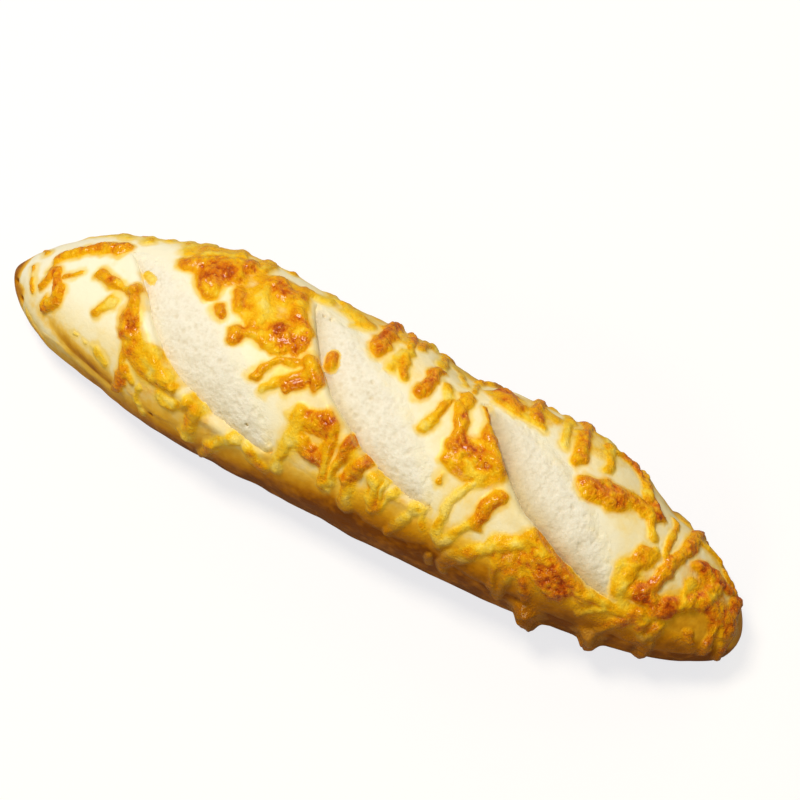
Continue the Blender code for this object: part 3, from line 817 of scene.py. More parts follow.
# x and turn of the start and the end, sideways bow, width, height, and how
# toasted the start and the end are (0 pale, 1 dark).
SHREDS = (
    # Left cap.
    (-119, -10, -100, -26, -2.5, 5.0, 1.7, 0.55, 0.62),
    (-108, -25, -100, -29, 0.0, 6.5, 1.9, 0.55, 0.74),
    (-119, -8, -121, 8, 0.0, 1.4, 0.7, 0.45, 0.40),
    (-119, 9, -120, 23, -0.6, 4.2, 1.7, 0.60, 0.62),
    (-117, 9, -111, 26, 0.5, 4.4, 1.7, 0.62, 0.76),
    (-111, 25, -115, 42, -1.5, 5.4, 1.9, 0.66, 0.60),
    (-113, 12, -108, 1, 0.6, 2.4, 1.0, 0.45, 0.30),
    (-129, 8, -123, 36, 0.5, 3.0, 1.1, 0.42, 0.30),
    (-101, -2, -93, 4, 0.6, 4.0, 1.7, 0.54, 0.56),
    (-93, 4, -85, 4, 0.0, 3.8, 1.6, 0.50, 0.62),
    (-90, 15, -94, 27, 0.5, 3.6, 1.4, 0.22, 0.44),
    (-107, -68, -103, -46, 0.0, 4.0, 1.1, 0.25, 0.15),
    (-98, -68, -94, -42, 0.0, 4.0, 1.1, 0.15, 0.12),
    (-90, -68, -88, -50, 0.0, 4.0, 1.0, 0.12, 0.10),
    (-84, -66, -78, -38, 0.0, 5.0, 1.2, 0.22, 0.15),
    (-129, -30, -127, -20, 0.0, 2.8, 1.0, 0.60, 0.45),
    (-99, 50, -98, 50, 0.0, 1.6, 0.8, 0.06, 0.06),
    (-94, 51, -93, 51, 0.0, 1.8, 0.8, 0.06, 0.06),
    (-86, 53, -85, 53, 0.0, 1.6, 0.8, 0.06, 0.06),
    (-123, 72, -114, 84, 0.0, 3.4, 0.7, 0.30, 0.42),
    # Lip of the left slash and the near side below it.
    (-85, 4, -80, 20, 0.0, 4.8, 2.0, 0.74, 0.60),
    (-82, 20, -79, 29, 0.0, 8.0, 2.1, 0.80, 0.78),
    (-78, 30, -62, 46, 1.0, 8.0, 1.7, 0.34, 0.30),
    (-77, 38, -66, 47, 0.0, 7.5, 1.3, 0.28, 0.26),
    (-63, 46, -57, 47, 0.0, 3.6, 1.6, 0.55, 0.60),
    (-60, 58, -49, 49, 1.8, 4.0, 1.6, 0.18, 0.22),
    (-89, 51, -84, 57, 0.0, 4.2, 0.9, 0.14, 0.12),
    (-76, 52, -78, 76, 0.0, 5.0, 1.5, 0.40, 0.60),
    (-66, 48, -60, 44, 0.6, 3.4, 1.4, 0.14, 0.18),
    (-77, 42, -73, 56, 2.0, 3.8, 1.4, 0.20, 0.18),
    (-69, 58, -66, 80, 1.2, 2.6, 1.3, 0.06, 0.16),
    (-46, 50, -49, 78, 0.0, 6.0, 1.9, 0.16, 0.40),
    (-31, 58, -42, 92, 1.5, 4.6, 1.9, 0.14, 0.40),
    (-26, 63, -21, 72, 0.0, 5.0, 1.3, 0.20, 0.36),
    # Ridge between the left and middle slashes.
    (-76, -27, -70, -28, 0.0, 5.5, 1.6, 0.36, 0.66),
    (-71, -30, -57, -38, 0.0, 10.0, 2.2, 0.78, 0.84),
    (-66, -27, -63, -16, 0.0, 9.0, 2.2, 0.86, 0.60),
    (-57, -37, -57, -28, 0.0, 6.0, 2.0, 0.80, 0.70),
    (-66, -70, -62, -48, 0.0, 5.0, 1.6, 0.35, 0.30),
    (-76, -62, -72, -40, 0.0, 6.0, 1.4, 0.28, 0.22),
    (-53, -20, -49, -13, 0.0, 4.6, 1.8, 0.50, 0.60),
    (-55.5, -5, -54, -4, 0.0, 4.8, 1.6, 0.66, 0.74),
    (-54, -66, -52, -42, 0.0, 5.0, 1.5, 0.45, 0.25),
    (-43, -37, -38, -32, 0.0, 8.0, 2.1, 0.72, 0.80),
    (-44, -24, -42, -8, 0.0, 5.0, 1.5, 0.30, 0.34),
    (-36, -36, -30, -18, 0.0, 6.5, 1.9, 0.55, 0.50),
    (-31, -20, -27, -13, 0.0, 6.5, 1.9, 0.48, 0.60),
    (-35, -8, -26, -6, 0.0, 7.6, 2.3, 0.80, 0.99),
    (-46, -38, -46, -24, 0.0, 4.0, 1.5, 0.40, 0.40),
    (-36, -44, -27, -47, 0.0, 4.6, 1.5, 0.34, 0.22),
    (-46, 3, -45, 6, 0.0, 5.4, 1.7, 0.70, 0.78),
    (-42, -1, -30, 1, 0.0, 5.0, 1.6, 0.34, 0.56),
    (-45, 4, -39, -1, 0.0, 3.8, 1.4, 0.44, 0.26),
    (-35, 2, -33, 3, 0.0, 3.2, 1.1, 0.66, 0.60),
    (-20, 0, -14, 9, 0.0, 4.6, 1.8, 0.50, 0.74),
    (-20, 1, -34, 21, 2.5, 3.2, 1.4, 0.36, 0.56),
    (-17, 6, -29, 26, 1.5, 3.4, 1.4, 0.42, 0.22),
    (-16, 8, -23, 19, 0.0, 3.6, 1.4, 0.55, 0.66),
    (-14, 29, -4, 28, -0.5, 7.0, 2.1, 0.32, 0.96),
    (-12, 29, -16, 66, 0.0, 5.0, 1.6, 0.24, 0.18),
    (-10, 40, -4, 47, 0.0, 6.0, 2.1, 0.36, 0.84),
    (-2, 28, 1, 62, 0.0, 3.8, 1.9, 0.50, 0.28),
    (6, 26, 2, 60, 0.0, 4.0, 2.2, 0.84, 0.12),
    (13, 32, 9, 49, 0.0, 4.6, 2.2, 0.84, 0.46),
    (17, 40, 19, 59, 0.0, 3.8, 1.8, 0.36, 0.22),
    (10, 49, 10, 67, 0.0, 4.6, 1.8, 0.30, 0.30),
    (20, 39, 21, 57, 0.0, 2.8, 1.3, 0.10, 0.15),
    (25, 41, 21, 58, 0.0, 2.8, 1.3, 0.10, 0.15),
    (33, 45, 26, 70, 0.0, 3.0, 1.5, 0.12, 0.20),
    (35, 43, 37, 55, 0.0, 3.0, 1.1, 0.08, 0.12),
    # Ridge between the middle and right slashes.
    (-6, -70, -3, -27, 0.0, 6.0, 2.1, 0.62, 0.76),
    (1, -62, 9, -19, 0.0, 3.0, 1.6, 0.52, 0.38),
    (4, -37, 4, -20, 0.0, 3.8, 1.2, 0.16, 0.14),
    (-22, -54, -13, -43, 0.0, 8.0, 1.6, 0.26, 0.28),
    (-31, -70, -27, -54, 0.0, 6.0, 1.0, 0.30, 0.20),
    (17, -35, 16, -12, 0.0, 4.8, 2.1, 0.72, 0.80),
    (22, -29, 26, -16, 0.0, 3.4, 1.4, 0.20, 0.24),
    (26, -18, 23, 5, 0.0, 3.8, 1.7, 0.60, 0.30),
    (29, -28, 37, 13, 0.0, 4.2, 1.9, 0.60, 0.50),
    (37, -25, 41, -17, 0.0, 3.2, 1.3, 0.66, 0.62),
    (42, -14, 50, 7, 0.0, 6.5, 1.8, 0.46, 0.56),
    (35, 5, 50, 4, 0.0, 6.5, 2.1, 0.80, 0.74),
    (36, 14, 46, 13, 0.0, 6.5, 1.7, 0.46, 0.40),
    (35, 24, 35, 26, 0.0, 2.2, 1.1, 0.50, 0.50),
    (48, 14, 43, 59, 4.0, 3.0, 1.3, 0.14, 0.12),
    (55, 19, 52, 36, 0.3, 5.0, 1.9, 0.66, 0.66),
    (51, 37, 43, 61, 0.0, 3.4, 1.3, 0.18, 0.16),
    (38, -49, 45, -39, 0.0, 7.5, 1.8, 0.66, 0.50),
    (49, -68, 52, -37, 0.0, 4.4, 1.8, 0.74, 0.66),
    (14, -64, 16, -44, 0.0, 4.0, 1.3, 0.26, 0.24),
    (22, -64, 26, -40, 0.0, 2.8, 1.1, 0.22, 0.24),
    (29, -68, 30, -36, 0.0, 2.6, 1.2, 0.34, 0.32),
    (39, -35, 55, -33, 0.0, 3.6, 1.1, 0.16, 0.14),
    (8, -66, 8, -48, 0.0, 3.4, 1.5, 0.55, 0.40),
    # Lip of the right slash and the near side below it.
    (59, 45, 72, 30, 0.0, 6.0, 2.0, 0.22, 0.50),
    (73, 29, 91, 48, 0.0, 6.0, 2.0, 0.60, 0.62),
    (74, 41, 82, 51, 0.0, 10.5, 2.6, 0.66, 1.05),
    (60, 44, 47, 68, 0.0, 4.4, 1.6, 0.20, 0.14),
    (55, 55, 48, 76, 0.0, 3.0, 1.3, 0.14, 0.18),
    (62, 46, 64, 74, 0.0, 3.4, 1.5, 0.30, 0.24),
    (68, 55, 66, 82, 0.0, 3.8, 1.6, 0.30, 0.18),
    (72, 56, 74, 70, 0.0, 4.0, 1.6, 0.80, 0.60),
    (91, 46, 110, 46, 0.0, 5.0, 1.5, 0.20, 0.24),
    (108, 44, 99, 73, 0.0, 4.6, 1.7, 0.56, 0.30),
    (98, 50, 91, 64, 0.0, 3.4, 1.3, 0.14, 0.16),
    (76, 82, 77, 118, 0.0, 7.0, 4.4, 0.50, 0.50),
    (97, 80, 98, 114, 0.0, 5.5, 3.6, 0.35, 0.40),
    (41, 73, 41, 82, 0.0, 3.2, 1.2, 0.10, 0.10),
    (47, 71, 47, 82, 0.0, 3.8, 1.3, 0.10, 0.10),
    # Far side of the right slash, and the right cap.
    (59, -68, 64, -31, 0.0, 3.8, 1.4, 0.30, 0.20),
    (66, -70, 70, -27, 0.0, 5.0, 2.0, 0.60, 0.68),
    (75, -68, 79, -34, 0.0, 3.8, 1.4, 0.24, 0.18),
    (90, -66, 95, -38, 0.0, 4.2, 1.7, 0.62, 0.56),
    (77, -15, 87, -20, 0.0, 8.5, 2.2, 0.70, 0.74),
    (86, -23, 97, -29, 0.0, 5.6, 2.1, 0.66, 0.72),
    (98, -35, 100, -28, 0.0, 4.8, 2.2, 0.95, 0.80),
    (76, -50, 86, -60, 0.5, 3.6, 1.5, 0.56, 0.66),
    (86, -60, 97, -40, 0.8, 3.4, 1.5, 0.62, 0.74),
    (116, -47, 123, -52, 0.0, 3.2, 1.2, 0.50, 0.46),
    (126, -50, 131, -42, 0.0, 3.4, 1.3, 0.56, 0.66),
    (98, -26, 102, -12, 0.0, 3.0, 1.4, 0.60, 0.22),
    (105, -46, 108, -8, 0.0, 2.8, 1.3, 0.38, 0.26),
    (114, -68, 107, 27, -2.0, 4.4, 1.9, 0.60, 0.64),
    (103, 1, 100, 30, 1.2, 6.6, 1.8, 0.46, 0.40),
    (105, 28, 115, 33, 0.0, 6.0, 2.4, 0.88, 0.98),
    (114, 31, 120, 14, 0.0, 6.0, 2.2, 0.90, 0.72),
    (120, 14, 125, 2, 0.0, 6.0, 2.1, 0.70, 0.74),
    (125, 4, 126, -24, 0.0, 6.0, 2.0, 0.70, 0.76),
    (118, 8, 119, -4, 0.0, 3.0, 1.1, 0.30, 0.26),
    (119, -23, 130, -34, 0.0, 5.0, 1.8, 0.76, 0.80),
    (124, 3, 135, 8, 0.0, 8.0, 1.9, 0.78, 0.92),
    (134, -32, 135, 18, 0.0, 7.0, 1.9, 0.88, 0.94),
    (124, 39, 126, 50, 0.0, 3.6, 1.6, 0.80, 0.78),
    (131, 18, 131, 62, 0.0, 3.8, 1.6, 0.80, 0.66),
    (110, 44, 113, 64, 0.0, 4.0, 1.4, 0.44, 0.46),
    (115, 46, 114, 98, 0.0, 4.4, 1.8, 0.52, 0.50),
    (136, 10, 136, 80, 0.0, 5.0, 1.6, 0.60, 0.55),
)

# Bits that fell on the crumb.
CRUMB_SHREDS = (
    (-14.6, -9.5, -13.6, -4.5, 0.0, 4.0, 2.1, 0.50, 0.62),
    (-86.0, -12, -82.5, -8.5, 0.0, 2.4, 1.2, 0.12, 0.16),
)

# Thin melt between the shreds: x, turn, reach in x, reach across (mm), height, toast.
FILMS = (
    (-100, -62, 26, 12, 0.8, 0.12),
    (-66, -49, 20, 9, 0.9, 0.26),
    (-42, -24, 15, 15, 1.0, 0.30),
    (-64, -32, 12, 10, 1.0, 0.42),
    (-34, -6, 13, 7, 0.9, 0.30),
    (-24, 10, 8, 6, 0.5, 0.20),
    (-70, 38, 10, 6, 0.8, 0.24),
    (-58, 62, 24, 9, 0.6, 0.34),
    (-3, 42, 17, 12, 0.6, 0.20),
    (25, 58, 18, 10, 0.6, 0.32),
    (-10, -50, 22, 8, 0.7, 0.22),
    (43, 6, 12, 10, 1.0, 0.34),
    (46, -44, 16, 9, 0.9, 0.26),
    (72, 45, 17, 10, 0.9, 0.36),
    (60, 60, 22, 10, 0.7, 0.36),
    (72, -52, 16, 12, 0.6, 0.18),
    (103, 22, 9, 14, 0.7, 0.24),
    (104, 52, 16, 11, 0.9, 0.34),
    (124, -8, 12, 12, 0.8, 0.50),
    (133, 10, 6, 16, 0.9, 0.70),
    # The near side.
    (-100, 76, 20, 6, 0.5, 0.20),
    (-106, 75, 9, 4, 0.7, 0.24),
    (88, 66, 20, 8, 0.7, 0.34),
    (116, 60, 18, 11, 0.8, 0.46),
    # The far side.
    (-62, -72, 34, 10, 0.7, 0.15),
    (0, -72, 34, 12, 0.7, 0.20),
    (72, -74, 34, 12, 0.7, 0.24),
)

# Shreds on the side that is turned away: how many, over which x and turns, their
# lean, half their run in degrees, and their width, height and toast.
FAR_SEED = 11
FAR_SHREDS = 20
FAR_REACH = 122.0
FAR_TURN = (-112.0, -78.0)
FAR_HALF_RUN = (12.0, 20.0)
FAR_LEAN = 5.0
FAR_WIDTH = (4.0, 6.5)
FAR_HEIGHT = (1.5, 2.2)
FAR_SINK = 0.85
FAR_TOAST = (0.1, 0.65)

CHEESE_NAMES = ("cheese_left_cap", "cheese_left_ridge", "cheese_right_ridge", "cheese_right_cap")
# Step of the field's net, how far round the loaf and how near the tips it runs,
# its thickness, and how high it stays over the floor.
CHEESE_STEP = 0.49
CHEESE_TURN = 140.0
CHEESE_TIP_GAP = 0.25
CHEESE_THICKNESS = 1.1
CHEESE_FLOOR_GAP = 0.15
# Melt: its heights join by this power. A shred sank a little as it melted, and
# spread past its edge, and it is worked out up to a margin round its path.
JOINING_POWER = 3.0
SHRED_FLATTENING = 0.92
SHRED_SPREAD = 0.35
SHRED_MARGIN = 5.0
PATH_STEPS = 10
# A shred's section, in half widths: a rounded top on a wider, softer foot.
TOP_SHARE = 0.62
TOP_EDGE = (1.12, 0.22)
FOOT_NARROWING, FOOT_POWER = 0.80, 2.2
# How the shreds wander, and their unevenness in width: size across, reach and
# seed. It is less where they are loose on the crumb than where they melted.
WANDER = ((4.6, 1.1, 60), (2.0, 0.55, 63))
UNEVENNESS = ((3.6, 1.0, 69),)
UNEVEN_LAID, UNEVEN_LOOSE = 0.25, 0.10
# Toast is full on the crests and less on the flanks, in patches.
CREST = (0.15, 0.80)
CREST_PATCHES = ((5.5, 0.30, 72),)
FLANK_TOAST = 0.42
# Thin melt: how abruptly it ends, and how much of its ground it covers.
FILM_EDGE = 2.2
FILM_COVER, FILM_FULLEST = 0.68, 1.2
FILM_PATCHES = ((6.5, 0.45, 70), (2.8, 0.20, 71))
# How far the fat spreads from a shred and from thin melt.
SHRED_HALO = 1.6
FILM_HALO, FILM_HALO_STRENGTH = 1.6, 0.8
# Where the melt tore as the slashes opened: mm inside the lip and the smooth edge.
TORN_FROM_LIP = (0.6, 1.7)
TORN_FROM_SMOOTH = (2.0, 5.0)
TORN_EDGE = ((3.0, 0.9, 73),)
SLASH_END = 0.98
# The melt's edge: how much of it is sunk in the crust, how quickly it thins, and
# down to which height it is kept, on the crust and in an open slash.
CHEESE_EDGE = 0.10
CHEESE_TOE = 0.22
EDGE_DIVE = 2.5
KEPT_ON_CRUST, KEPT_ON_CRUMB = -0.25, 0.10
# Relief on the melt, where it is thick: bumps, of which the fine ones are higher
# where it is crisp, and blisters (spacing, seed, share of places, radius as a share
# of the spacing, and height).
THICK = (0.2, 1.0)
CRISP = (0.25, 0.75)
MELT_BUMPS = ((2.8, 0.22, 80),)
FINE_BUMPS = ((1.3, 1.0, 81),)
FINE_BUMP, CRISP_FINE_BUMP = 0.08, 0.10
BLISTERS = ((2.3, 90, 0.9, 0.60, 1.0), (1.4, 97, 0.8, 0.60, 0.7))
BLISTER_HEIGHT, CRISP_BLISTER_HEIGHT = 0.12, 0.46
# Toast in blotches. Blistered skins are paler, a painted highlight, and dips below what stands round
# them, within some steps of the grid, are darker, a painted shade.
TOAST_BLOTCHES = ((3.2, 0.32, 82), (7.0, 0.22, 83))
TOAST_LIFT = 0.03
BLISTER_PAINTED_HIGHLIGHT = 0.25
DIP_PAINTED_SHADE, CRISP_DIP_PAINTED_SHADE = 0.34, -0.08
DIP_REACH = 3
DIP_DEPTH = 0.35
# Stain of fat on the skin: patches given as in BROWNED, those on stretched skin
# fainter, and how strong it is beside the cheese.
ALL_ALONG = (-141, -140)
GREASY_TOP = ((0.58, (-75, -20), ALL_ROUND), (0.55, ALL_ALONG, (5, 45)))
GREASY_SIDE = ((0.75, (-90, -60), (38, 60)),)
STRETCHED_FAINTER = 0.5
HALO_STAIN = 0.9
# The turns between which the line that parts two pieces leans as the slash does.
PARTING_TURNS = (-40, 52)

Shred = namedtuple("Shred", "x0 turn0 x1 turn1 bow width height toast0 toast1")


def shred_path(shred):
    """Points in mm on the bare loaf along the middle of a shred."""
    part = np.linspace(0, 1, PATH_STEPS)
    run = np.array([shred.x1 - shred.x0, (shred.turn1 - shred.turn0) * DEGREE_ARC])
    run = run / np.hypot(*run)
    shift = shred.bow * 4 * part * (1 - part)
    x = shred.x0 + (shred.x1 - shred.x0) * part - run[1] * shift
    turn = shred.turn0 + (shred.turn1 - shred.turn0) * part + run[0] * shift / DEGREE_ARC
    return loaf_points(x, turn)


def far_shreds():
    """Shreds on the side that is turned away, laid as thickly as on the near one."""
    draw = np.random.default_rng(FAR_SEED)
    rows = []
    for index in range(FAR_SHREDS):
        x = FAR_REACH * (2 * (index + draw.uniform(0.2, 0.8)) / FAR_SHREDS - 1)
        turn = draw.uniform(*FAR_TURN)
        lean = draw.uniform(-FAR_LEAN, FAR_LEAN)
        half = draw.uniform(*FAR_HALF_RUN)
        width = draw.uniform(*FAR_WIDTH)
        height = draw.uniform(*FAR_HEIGHT) * FAR_SINK
        toast = draw.uniform(*FAR_TOAST, 2)
        rows.append((x - lean, turn - half, x + lean, turn + half, 0.0, width, height, *toast))
    return rows


def melt_at(x, turn):
    """Height of the melt in mm, how toasted it is, and how near it is, at places."""
    points = loaf_points(x, turn)
    wander = np.stack([
        lumps_of(points, [(size, reach, seed + axis) for size, reach, seed in WANDER])
        for axis in range(3)], -1)
    uneven = lumps_of(points, UNEVENNESS)
    patches = lumps_of(points, CREST_PATCHES)
    cover = np.clip(FILM_COVER + lumps_of(points, FILM_PATCHES), 0, FILM_FULLEST)
    height_sum = np.zeros(len(points))
    toast_sum = np.zeros(len(points))
    weight_sum = np.full(len(points), 1e-6)
    halo = np.zeros(len(points))

    torn = np.zeros(len(points))
    for slash in SLASHES:
        along, from_lip, from_smooth = slash_frame(slash, x, turn)
        ragged = from_lip + lumps_of(points, TORN_EDGE)
        gap = smooth_step(*TORN_FROM_LIP, ragged) * smooth_step(*TORN_FROM_SMOOTH, from_smooth)
        torn = np.maximum(torn, gap * (np.abs(along) < SLASH_END))

    # Each shred is a rounded ridge along its path. What fell on the crumb keeps its
    # shape, and the rest wandered as it melted.
    for row in (*SHREDS, *far_shreds(), *CRUMB_SHREDS):
        loose = row in CRUMB_SHREDS
        shred = Shred(*row)
        path = shred_path(shred)
        half = shred.width / 2 + SHRED_SPREAD
        margin = half + SHRED_MARGIN
        close = np.all((points > path.min(0) - margin) & (points < path.max(0) + margin), axis=1)
        index = np.nonzero(close)[0]
        spot = points[index] if loose else points[index] + wander[index]
        distance, where = nearest_on_path(spot, path)
        off = distance / (half * (1 + (UNEVEN_LOOSE if loose else UNEVEN_LAID) * uneven[index]))
        foot = np.exp(-(off * FOOT_NARROWING) ** FOOT_POWER)
        share = TOP_SHARE * smooth_step(*TOP_EDGE, off) + (1 - TOP_SHARE) * foot
        level = shred.height * SHRED_FLATTENING * share * (1 if loose else 1 - torn[index])
        weight = level ** JOINING_POWER
        tone = shred.toast0 + (shred.toast1 - shred.toast0) * where
        crest = smooth_step(*CREST, share + patches[index])
        height_sum[index] += weight
        toast_sum[index] += weight * tone * (FLANK_TOAST + (1 - FLANK_TOAST) * crest)
        weight_sum[index] += weight
        halo[index] = np.maximum(halo[index], np.exp(-(np.maximum(distance - half, 0) / SHRED_HALO) ** 2))

    for at_x, at_turn, reach_x, reach_across, height, toast in FILMS:
        far_off = ((x - at_x) / reach_x) ** 2 + ((turn - at_turn) * DEGREE_ARC / reach_across) ** 2
        level = height * np.clip((1 - far_off) * FILM_EDGE, 0, 1) * cover * (1 - torn)
        weight = level ** JOINING_POWER
        height_sum += weight
        toast_sum += weight * toast
        weight_sum += weight
        halo = np.maximum(halo, FILM_HALO_STRENGTH * np.clip(FILM_HALO - far_off, 0, 1))
    return height_sum ** (1 / JOINING_POWER), toast_sum / weight_sum, halo


# One field over the whole upper crust.
grid_x, grid_turn = np.meshgrid(
    np.linspace(-LENGTH / 2 + CHEESE_TIP_GAP, LENGTH / 2 - CHEESE_TIP_GAP, round(LENGTH / CHEESE_STEP)),
    np.linspace(-CHEESE_TURN, CHEESE_TURN, round(2 * CHEESE_TURN * DEGREE_ARC / CHEESE_STEP)),
    indexing="ij")
under, under_normal = crust_shape(grid_x, grid_turn, under_crumb=False)
flat = under.reshape(-1, 3)
field_x, field_turn = grid_x.ravel(), grid_turn.ravel()
melt, toast, halo = melt_at(field_x, field_turn)

# Its relief.
melt = melt ** 2 / (melt + CHEESE_TOE)
thick = smooth_step(*THICK, melt)
crisp = smooth_step(*CRISP, toast)
fine = FINE_BUMP + CRISP_FINE_BUMP * crisp
bumps = lumps_of(flat, MELT_BUMPS) + fine * lumps_of(flat, FINE_BUMPS)
blister = np.maximum.reduce([height * pits(flat, *row) for *row, height in BLISTERS])
melt = melt * (1 + bumps) + thick * (BLISTER_HEIGHT + CRISP_BLISTER_HEIGHT * crisp) * blister

# Its toast, with painted shade in its dips and a painted highlight on its blisters.
around = melt.reshape(grid_x.shape)
for axis in (0, 1):
    around = sum(np.roll(around, step, axis) for step in range(-DIP_REACH, DIP_REACH + 1))
    around = around / (2 * DIP_REACH + 1)
dip = np.clip((around.ravel() - melt) / DIP_DEPTH, 0, 1)
dip_painted_shade = (DIP_PAINTED_SHADE + CRISP_DIP_PAINTED_SHADE * crisp) * dip
blotches = lumps_of(flat, TOAST_BLOTCHES) + TOAST_LIFT
toast = toast + thick * (blotches - BLISTER_PAINTED_HIGHLIGHT * crisp * blister + dip_painted_shade)

# The melt's edge dives into the crust, and what lies deeper is left out.
lift = melt - CHEESE_EDGE
lift = np.where(lift < 0, lift * EDGE_DIVE, lift)
cheese_points = flat + under_normal.reshape(-1, 3) * lift[:, None]
cheese_points[:, 2] = np.maximum(cheese_points[:, 2], CHEESE_FLOOR_GAP)
faces, face_uv = sheet_faces(*grid_x.shape)
open_crumb = np.zeros(len(flat), bool)
for slash in SLASHES:
    along, from_lip, from_smooth = slash_frame(slash, field_x, field_turn)
    open_crumb |= (np.abs(along) < SLASH_END) & (from_lip > 0.5) & (from_smooth > 1.0)
shown = lift > np.where(open_crumb, KEPT_ON_CRUMB, KEPT_ON_CRUST)
kept = shown[faces].any(axis=1)


def slash_line_x(slash, turn):
    """x of a slash's middle line at a turn, carried on past its tips."""
    return slash.x0 + (slash.x1 - slash.x0) * (turn - slash.turn0) / (slash.turn1 - slash.turn0)


def stain_at(x, turn, near_cheese):
    """How yellow the skin is from the fat: most beside the cheese, more to the right."""
    top = patches_at(x, turn, GREASY_TOP)
    for slash in SLASHES:
        top = top * (1 - STRETCHED_FAINTER * stretched_at(slash, x, turn))
    return np.maximum.reduce([HALO_STAIN * near_cheese, top, patches_at(x, turn, GREASY_SIDE)])


cheese_stain = stain_at(field_x, field_turn, halo)
centre_x = field_x[faces].mean(1)
centre_turn = np.clip(field_turn[faces].mean(1), *PARTING_TURNS)
part_of = sum((centre_x > slash_line_x(slash, centre_turn)).astype(int) for slash in SLASHES)
cheeses = []
for number, name in enumerate(CHEESE_NAMES):
    chosen = kept & (part_of == number)
    used, new_faces = np.unique(faces[chosen], return_inverse=True)
    points = cheese_points[used]
    cheese = skin_object(name, points, new_faces.reshape(-1, 4).tolist(), face_uv[chosen])
    paint(cheese, "toast", np.clip(toast[used], 0, 1))
    paint(cheese, "melt", melt[used])
    paint(cheese, "stain", cheese_stain[used])
    paint(cheese, "bake_and_shade", bake_and_shade_at(points[:, 0], field_turn[used], points[:, 2]))
    thicken(cheese, CHEESE_THICKNESS)
    cheeses.append(cheese)
    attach(cheese, "root")
    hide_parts("loaf")

# The crust and crumb take a stain of fat from the cheese near them.
_, _, near_cheese = melt_at(bare_x, bare_turn)
paint(crust, "stain", np.append(stain_at(bare_x, bare_turn, near_cheese), [0.5, 0.5]))
for crumb, places in zip(crumbs, crumb_places):
    _, _, near_cheese = melt_at(*places)
    paint(crumb, "stain", stain_at(*places, near_cheese))

# Cheese colour by how toasted it is. Where the melt thins out to nothing it
# shows the stained crust beneath.
CHEESE_TONES = (
    (0.00, linear(253, 220, 106)),
    (0.14, linear(251, 206, 56)),
    (0.30, linear(248, 184, 16)),
    (0.46, linear(244, 167, 3)),
    (0.64, linear(238, 143, 1)),
    (0.84, linear(222, 109, 1)),
    (1.00, linear(186, 68, 1)),
)
BROWNED_AND_SHADED_CHEESE = linear(168, 92, 1)
FAT_BEAD_AND_GLINT = linear(255, 214, 80)
material, tree, shader = new_material(
    "melted_cheese", Specular_IOR_Level=0.50, Specular_Tint=(1.0, 0.78, 0.08, 1.0),
    Coat_Roughness=0.14, Coat_IOR=1.45)
melt_mm = painted(tree, "melt")
toasted = painted(tree, "toast")
bake_and_shade = painted(tree, "bake_and_shade")
crisp = rise(tree, toasted, 0.25, 0.75)
pimple = grain(tree, 1.1)
# Patchy toast, with the pimples of the relief paler on their crests and darker between, a painted
# highlight and shade.
patches_and_pimple_shade = plus(tree, times(tree, grain(tree, 2.1), 0.15), pimple, -0.09)
patches_and_pimple_shade = times(tree, patches_and_pimple_shade, plus(tree, 0.75, crisp, 0.35))
tone = toned(tree, maths(tree, "ADD", toasted, patches_and_pimple_shade), CHEESE_TONES)
# Pale specks: beads of fat, and partly painted glints.
bead_and_glint = times(tree, rise(tree, grain(tree, 0.8, 1.0), 0.40, 0.90), 0.46)
tone = mixed(tree, times(tree, bead_and_glint, rise(tree, melt_mm, 0.3, 0.9)), tone, FAT_BEAD_AND_GLINT)
# Low on the sides the cheese darkens to brown: partly browning, partly painted shade.
tone = mixed(tree, times(tree, rise(tree, bake_and_shade, 0.30, 0.98), 0.88), tone, BROWNED_AND_SHADED_CHEESE)
edge = use_group(tree, crust_colour, Stain=painted(tree, "stain"), Bake=bake_and_shade)["Colour"]
cover = rise(tree, plus(tree, melt_mm, grain(tree, 2.0), 0.10), 0.03, 0.58)
tree.links.new(mixed(tree, cover, edge, tone), shader.inputs["Base Color"])

# Greasy gloss, with a thin clear coat of fat on what is toasted most.
gloss = times(tree, cover, plus(tree, 0.14, crisp, 0.10))
tree.links.new(maths(tree, "SUBTRACT", 0.42, gloss), shader.inputs["Roughness"])
grease = times(tree, cover, plus(tree, 0.08, crisp, 0.36))
tree.links.new(grease, shader.inputs["Coat Weight"])
relief = plus(tree, times(tree, grain(tree, 0.5), 0.12), pimple, 0.21)
emboss(tree, shader, times(tree, relief, times(tree, cover, plus(tree, 0.65, crisp, 0.4))))
for cheese in cheeses:
    cheese.data.materials.append(material)

# ---------------------------------------------------------------------------
# Studio. A white paper floor, three soft square lights and a pale room, with the
# camera on a tripod over the near side of the right end.

bpy.ops.mesh.primitive_plane_add(size=8)
floor = bpy.context.object
floor.name = "floor"
material, tree, shader = new_material(
    "floor", Roughness=0.9, Base_Color=(0.34, 0.30, 0.225, 1.0), Emission_Color=(0.93, 0.95, 1.01, 1),
    Specular_IOR_Level=0.0)
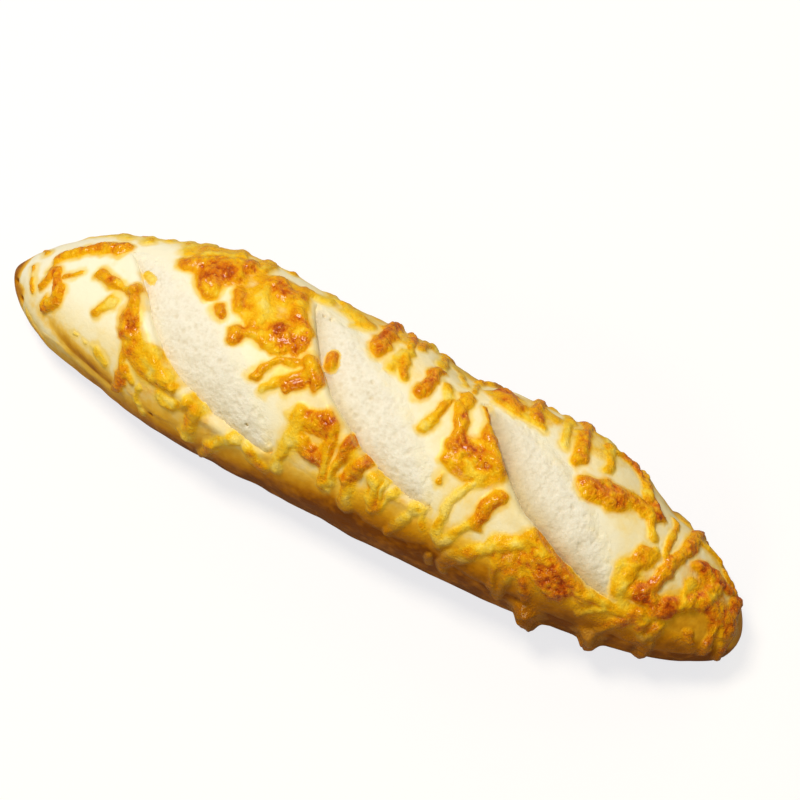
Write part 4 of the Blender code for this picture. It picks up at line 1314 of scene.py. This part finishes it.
# The paper glows a little for the camera, as an overexposed white sweep does.
seen = times(tree, add_node(tree, "LightPath").outputs["Is Camera Ray"], 0.76)
tree.links.new(seen, shader.inputs["Emission Strength"])
floor.data.materials.append(material)

CAMERA_AZIMUTH = math.radians(29.0)
CAMERA_ELEVATION = math.radians(66.0)
CAMERA_DISTANCE = 0.632
CAMERA_TARGET = Vector((0.0055, 0.014, 0.020))
CAMERA_LENS = 85
CAMERA_SENSOR = 36
level = math.cos(CAMERA_ELEVATION)
to_camera = Vector((
    math.sin(CAMERA_AZIMUTH) * level, -math.cos(CAMERA_AZIMUTH) * level, math.sin(CAMERA_ELEVATION)))
camera = bpy.data.objects.new("camera", bpy.data.cameras.new("camera"))
camera.data.lens = CAMERA_LENS
camera.data.sensor_width = CAMERA_SENSOR
camera.location = CAMERA_TARGET + to_camera * CAMERA_DISTANCE
camera.rotation_euler = (-to_camera).to_track_quat("-Z", "Y").to_euler()
bpy.context.scene.collection.objects.link(camera)
bpy.context.scene.camera = camera

# Name, direction from the bread, distance and size in m, power and colour.
LIGHTS = (
    ("key", (-0.36, 0.08, 0.93), 1.3, 0.38, 12.0, (0.98, 1.0, 1.06)),
    ("fill", (0.05, -0.80, 0.52), 1.4, 0.42, 4.4, (1.0, 0.90, 0.54)),
    ("back", (0.10, 0.80, 0.50), 1.4, 1.0, 4.0, (1.0, 0.92, 0.62)),
)
for name, direction, distance, size, power, colour in LIGHTS:
    light = bpy.data.lights.new(name, "AREA")
    light.size = size
    light.energy = power
    light.color = colour
    lamp = bpy.data.objects.new(name, light)
    to_lamp = Vector(direction).normalized()
    lamp.location = CAMERA_TARGET + to_lamp * distance
    lamp.rotation_euler = (-to_lamp).to_track_quat("-Z", "Y").to_euler()
    bpy.context.scene.collection.objects.link(lamp)

ROOM_COLOUR = (1.0, 0.91, 0.62, 1)
ROOM_STRENGTH = 0.19
world = bpy.data.worlds.new("studio")
world.use_nodes = True
room = world.node_tree.nodes["Background"].inputs
room["Color"].default_value = ROOM_COLOUR
room["Strength"].default_value = ROOM_STRENGTH
bpy.context.scene.world = world
bpy.context.scene.view_settings.view_transform = "Standard"
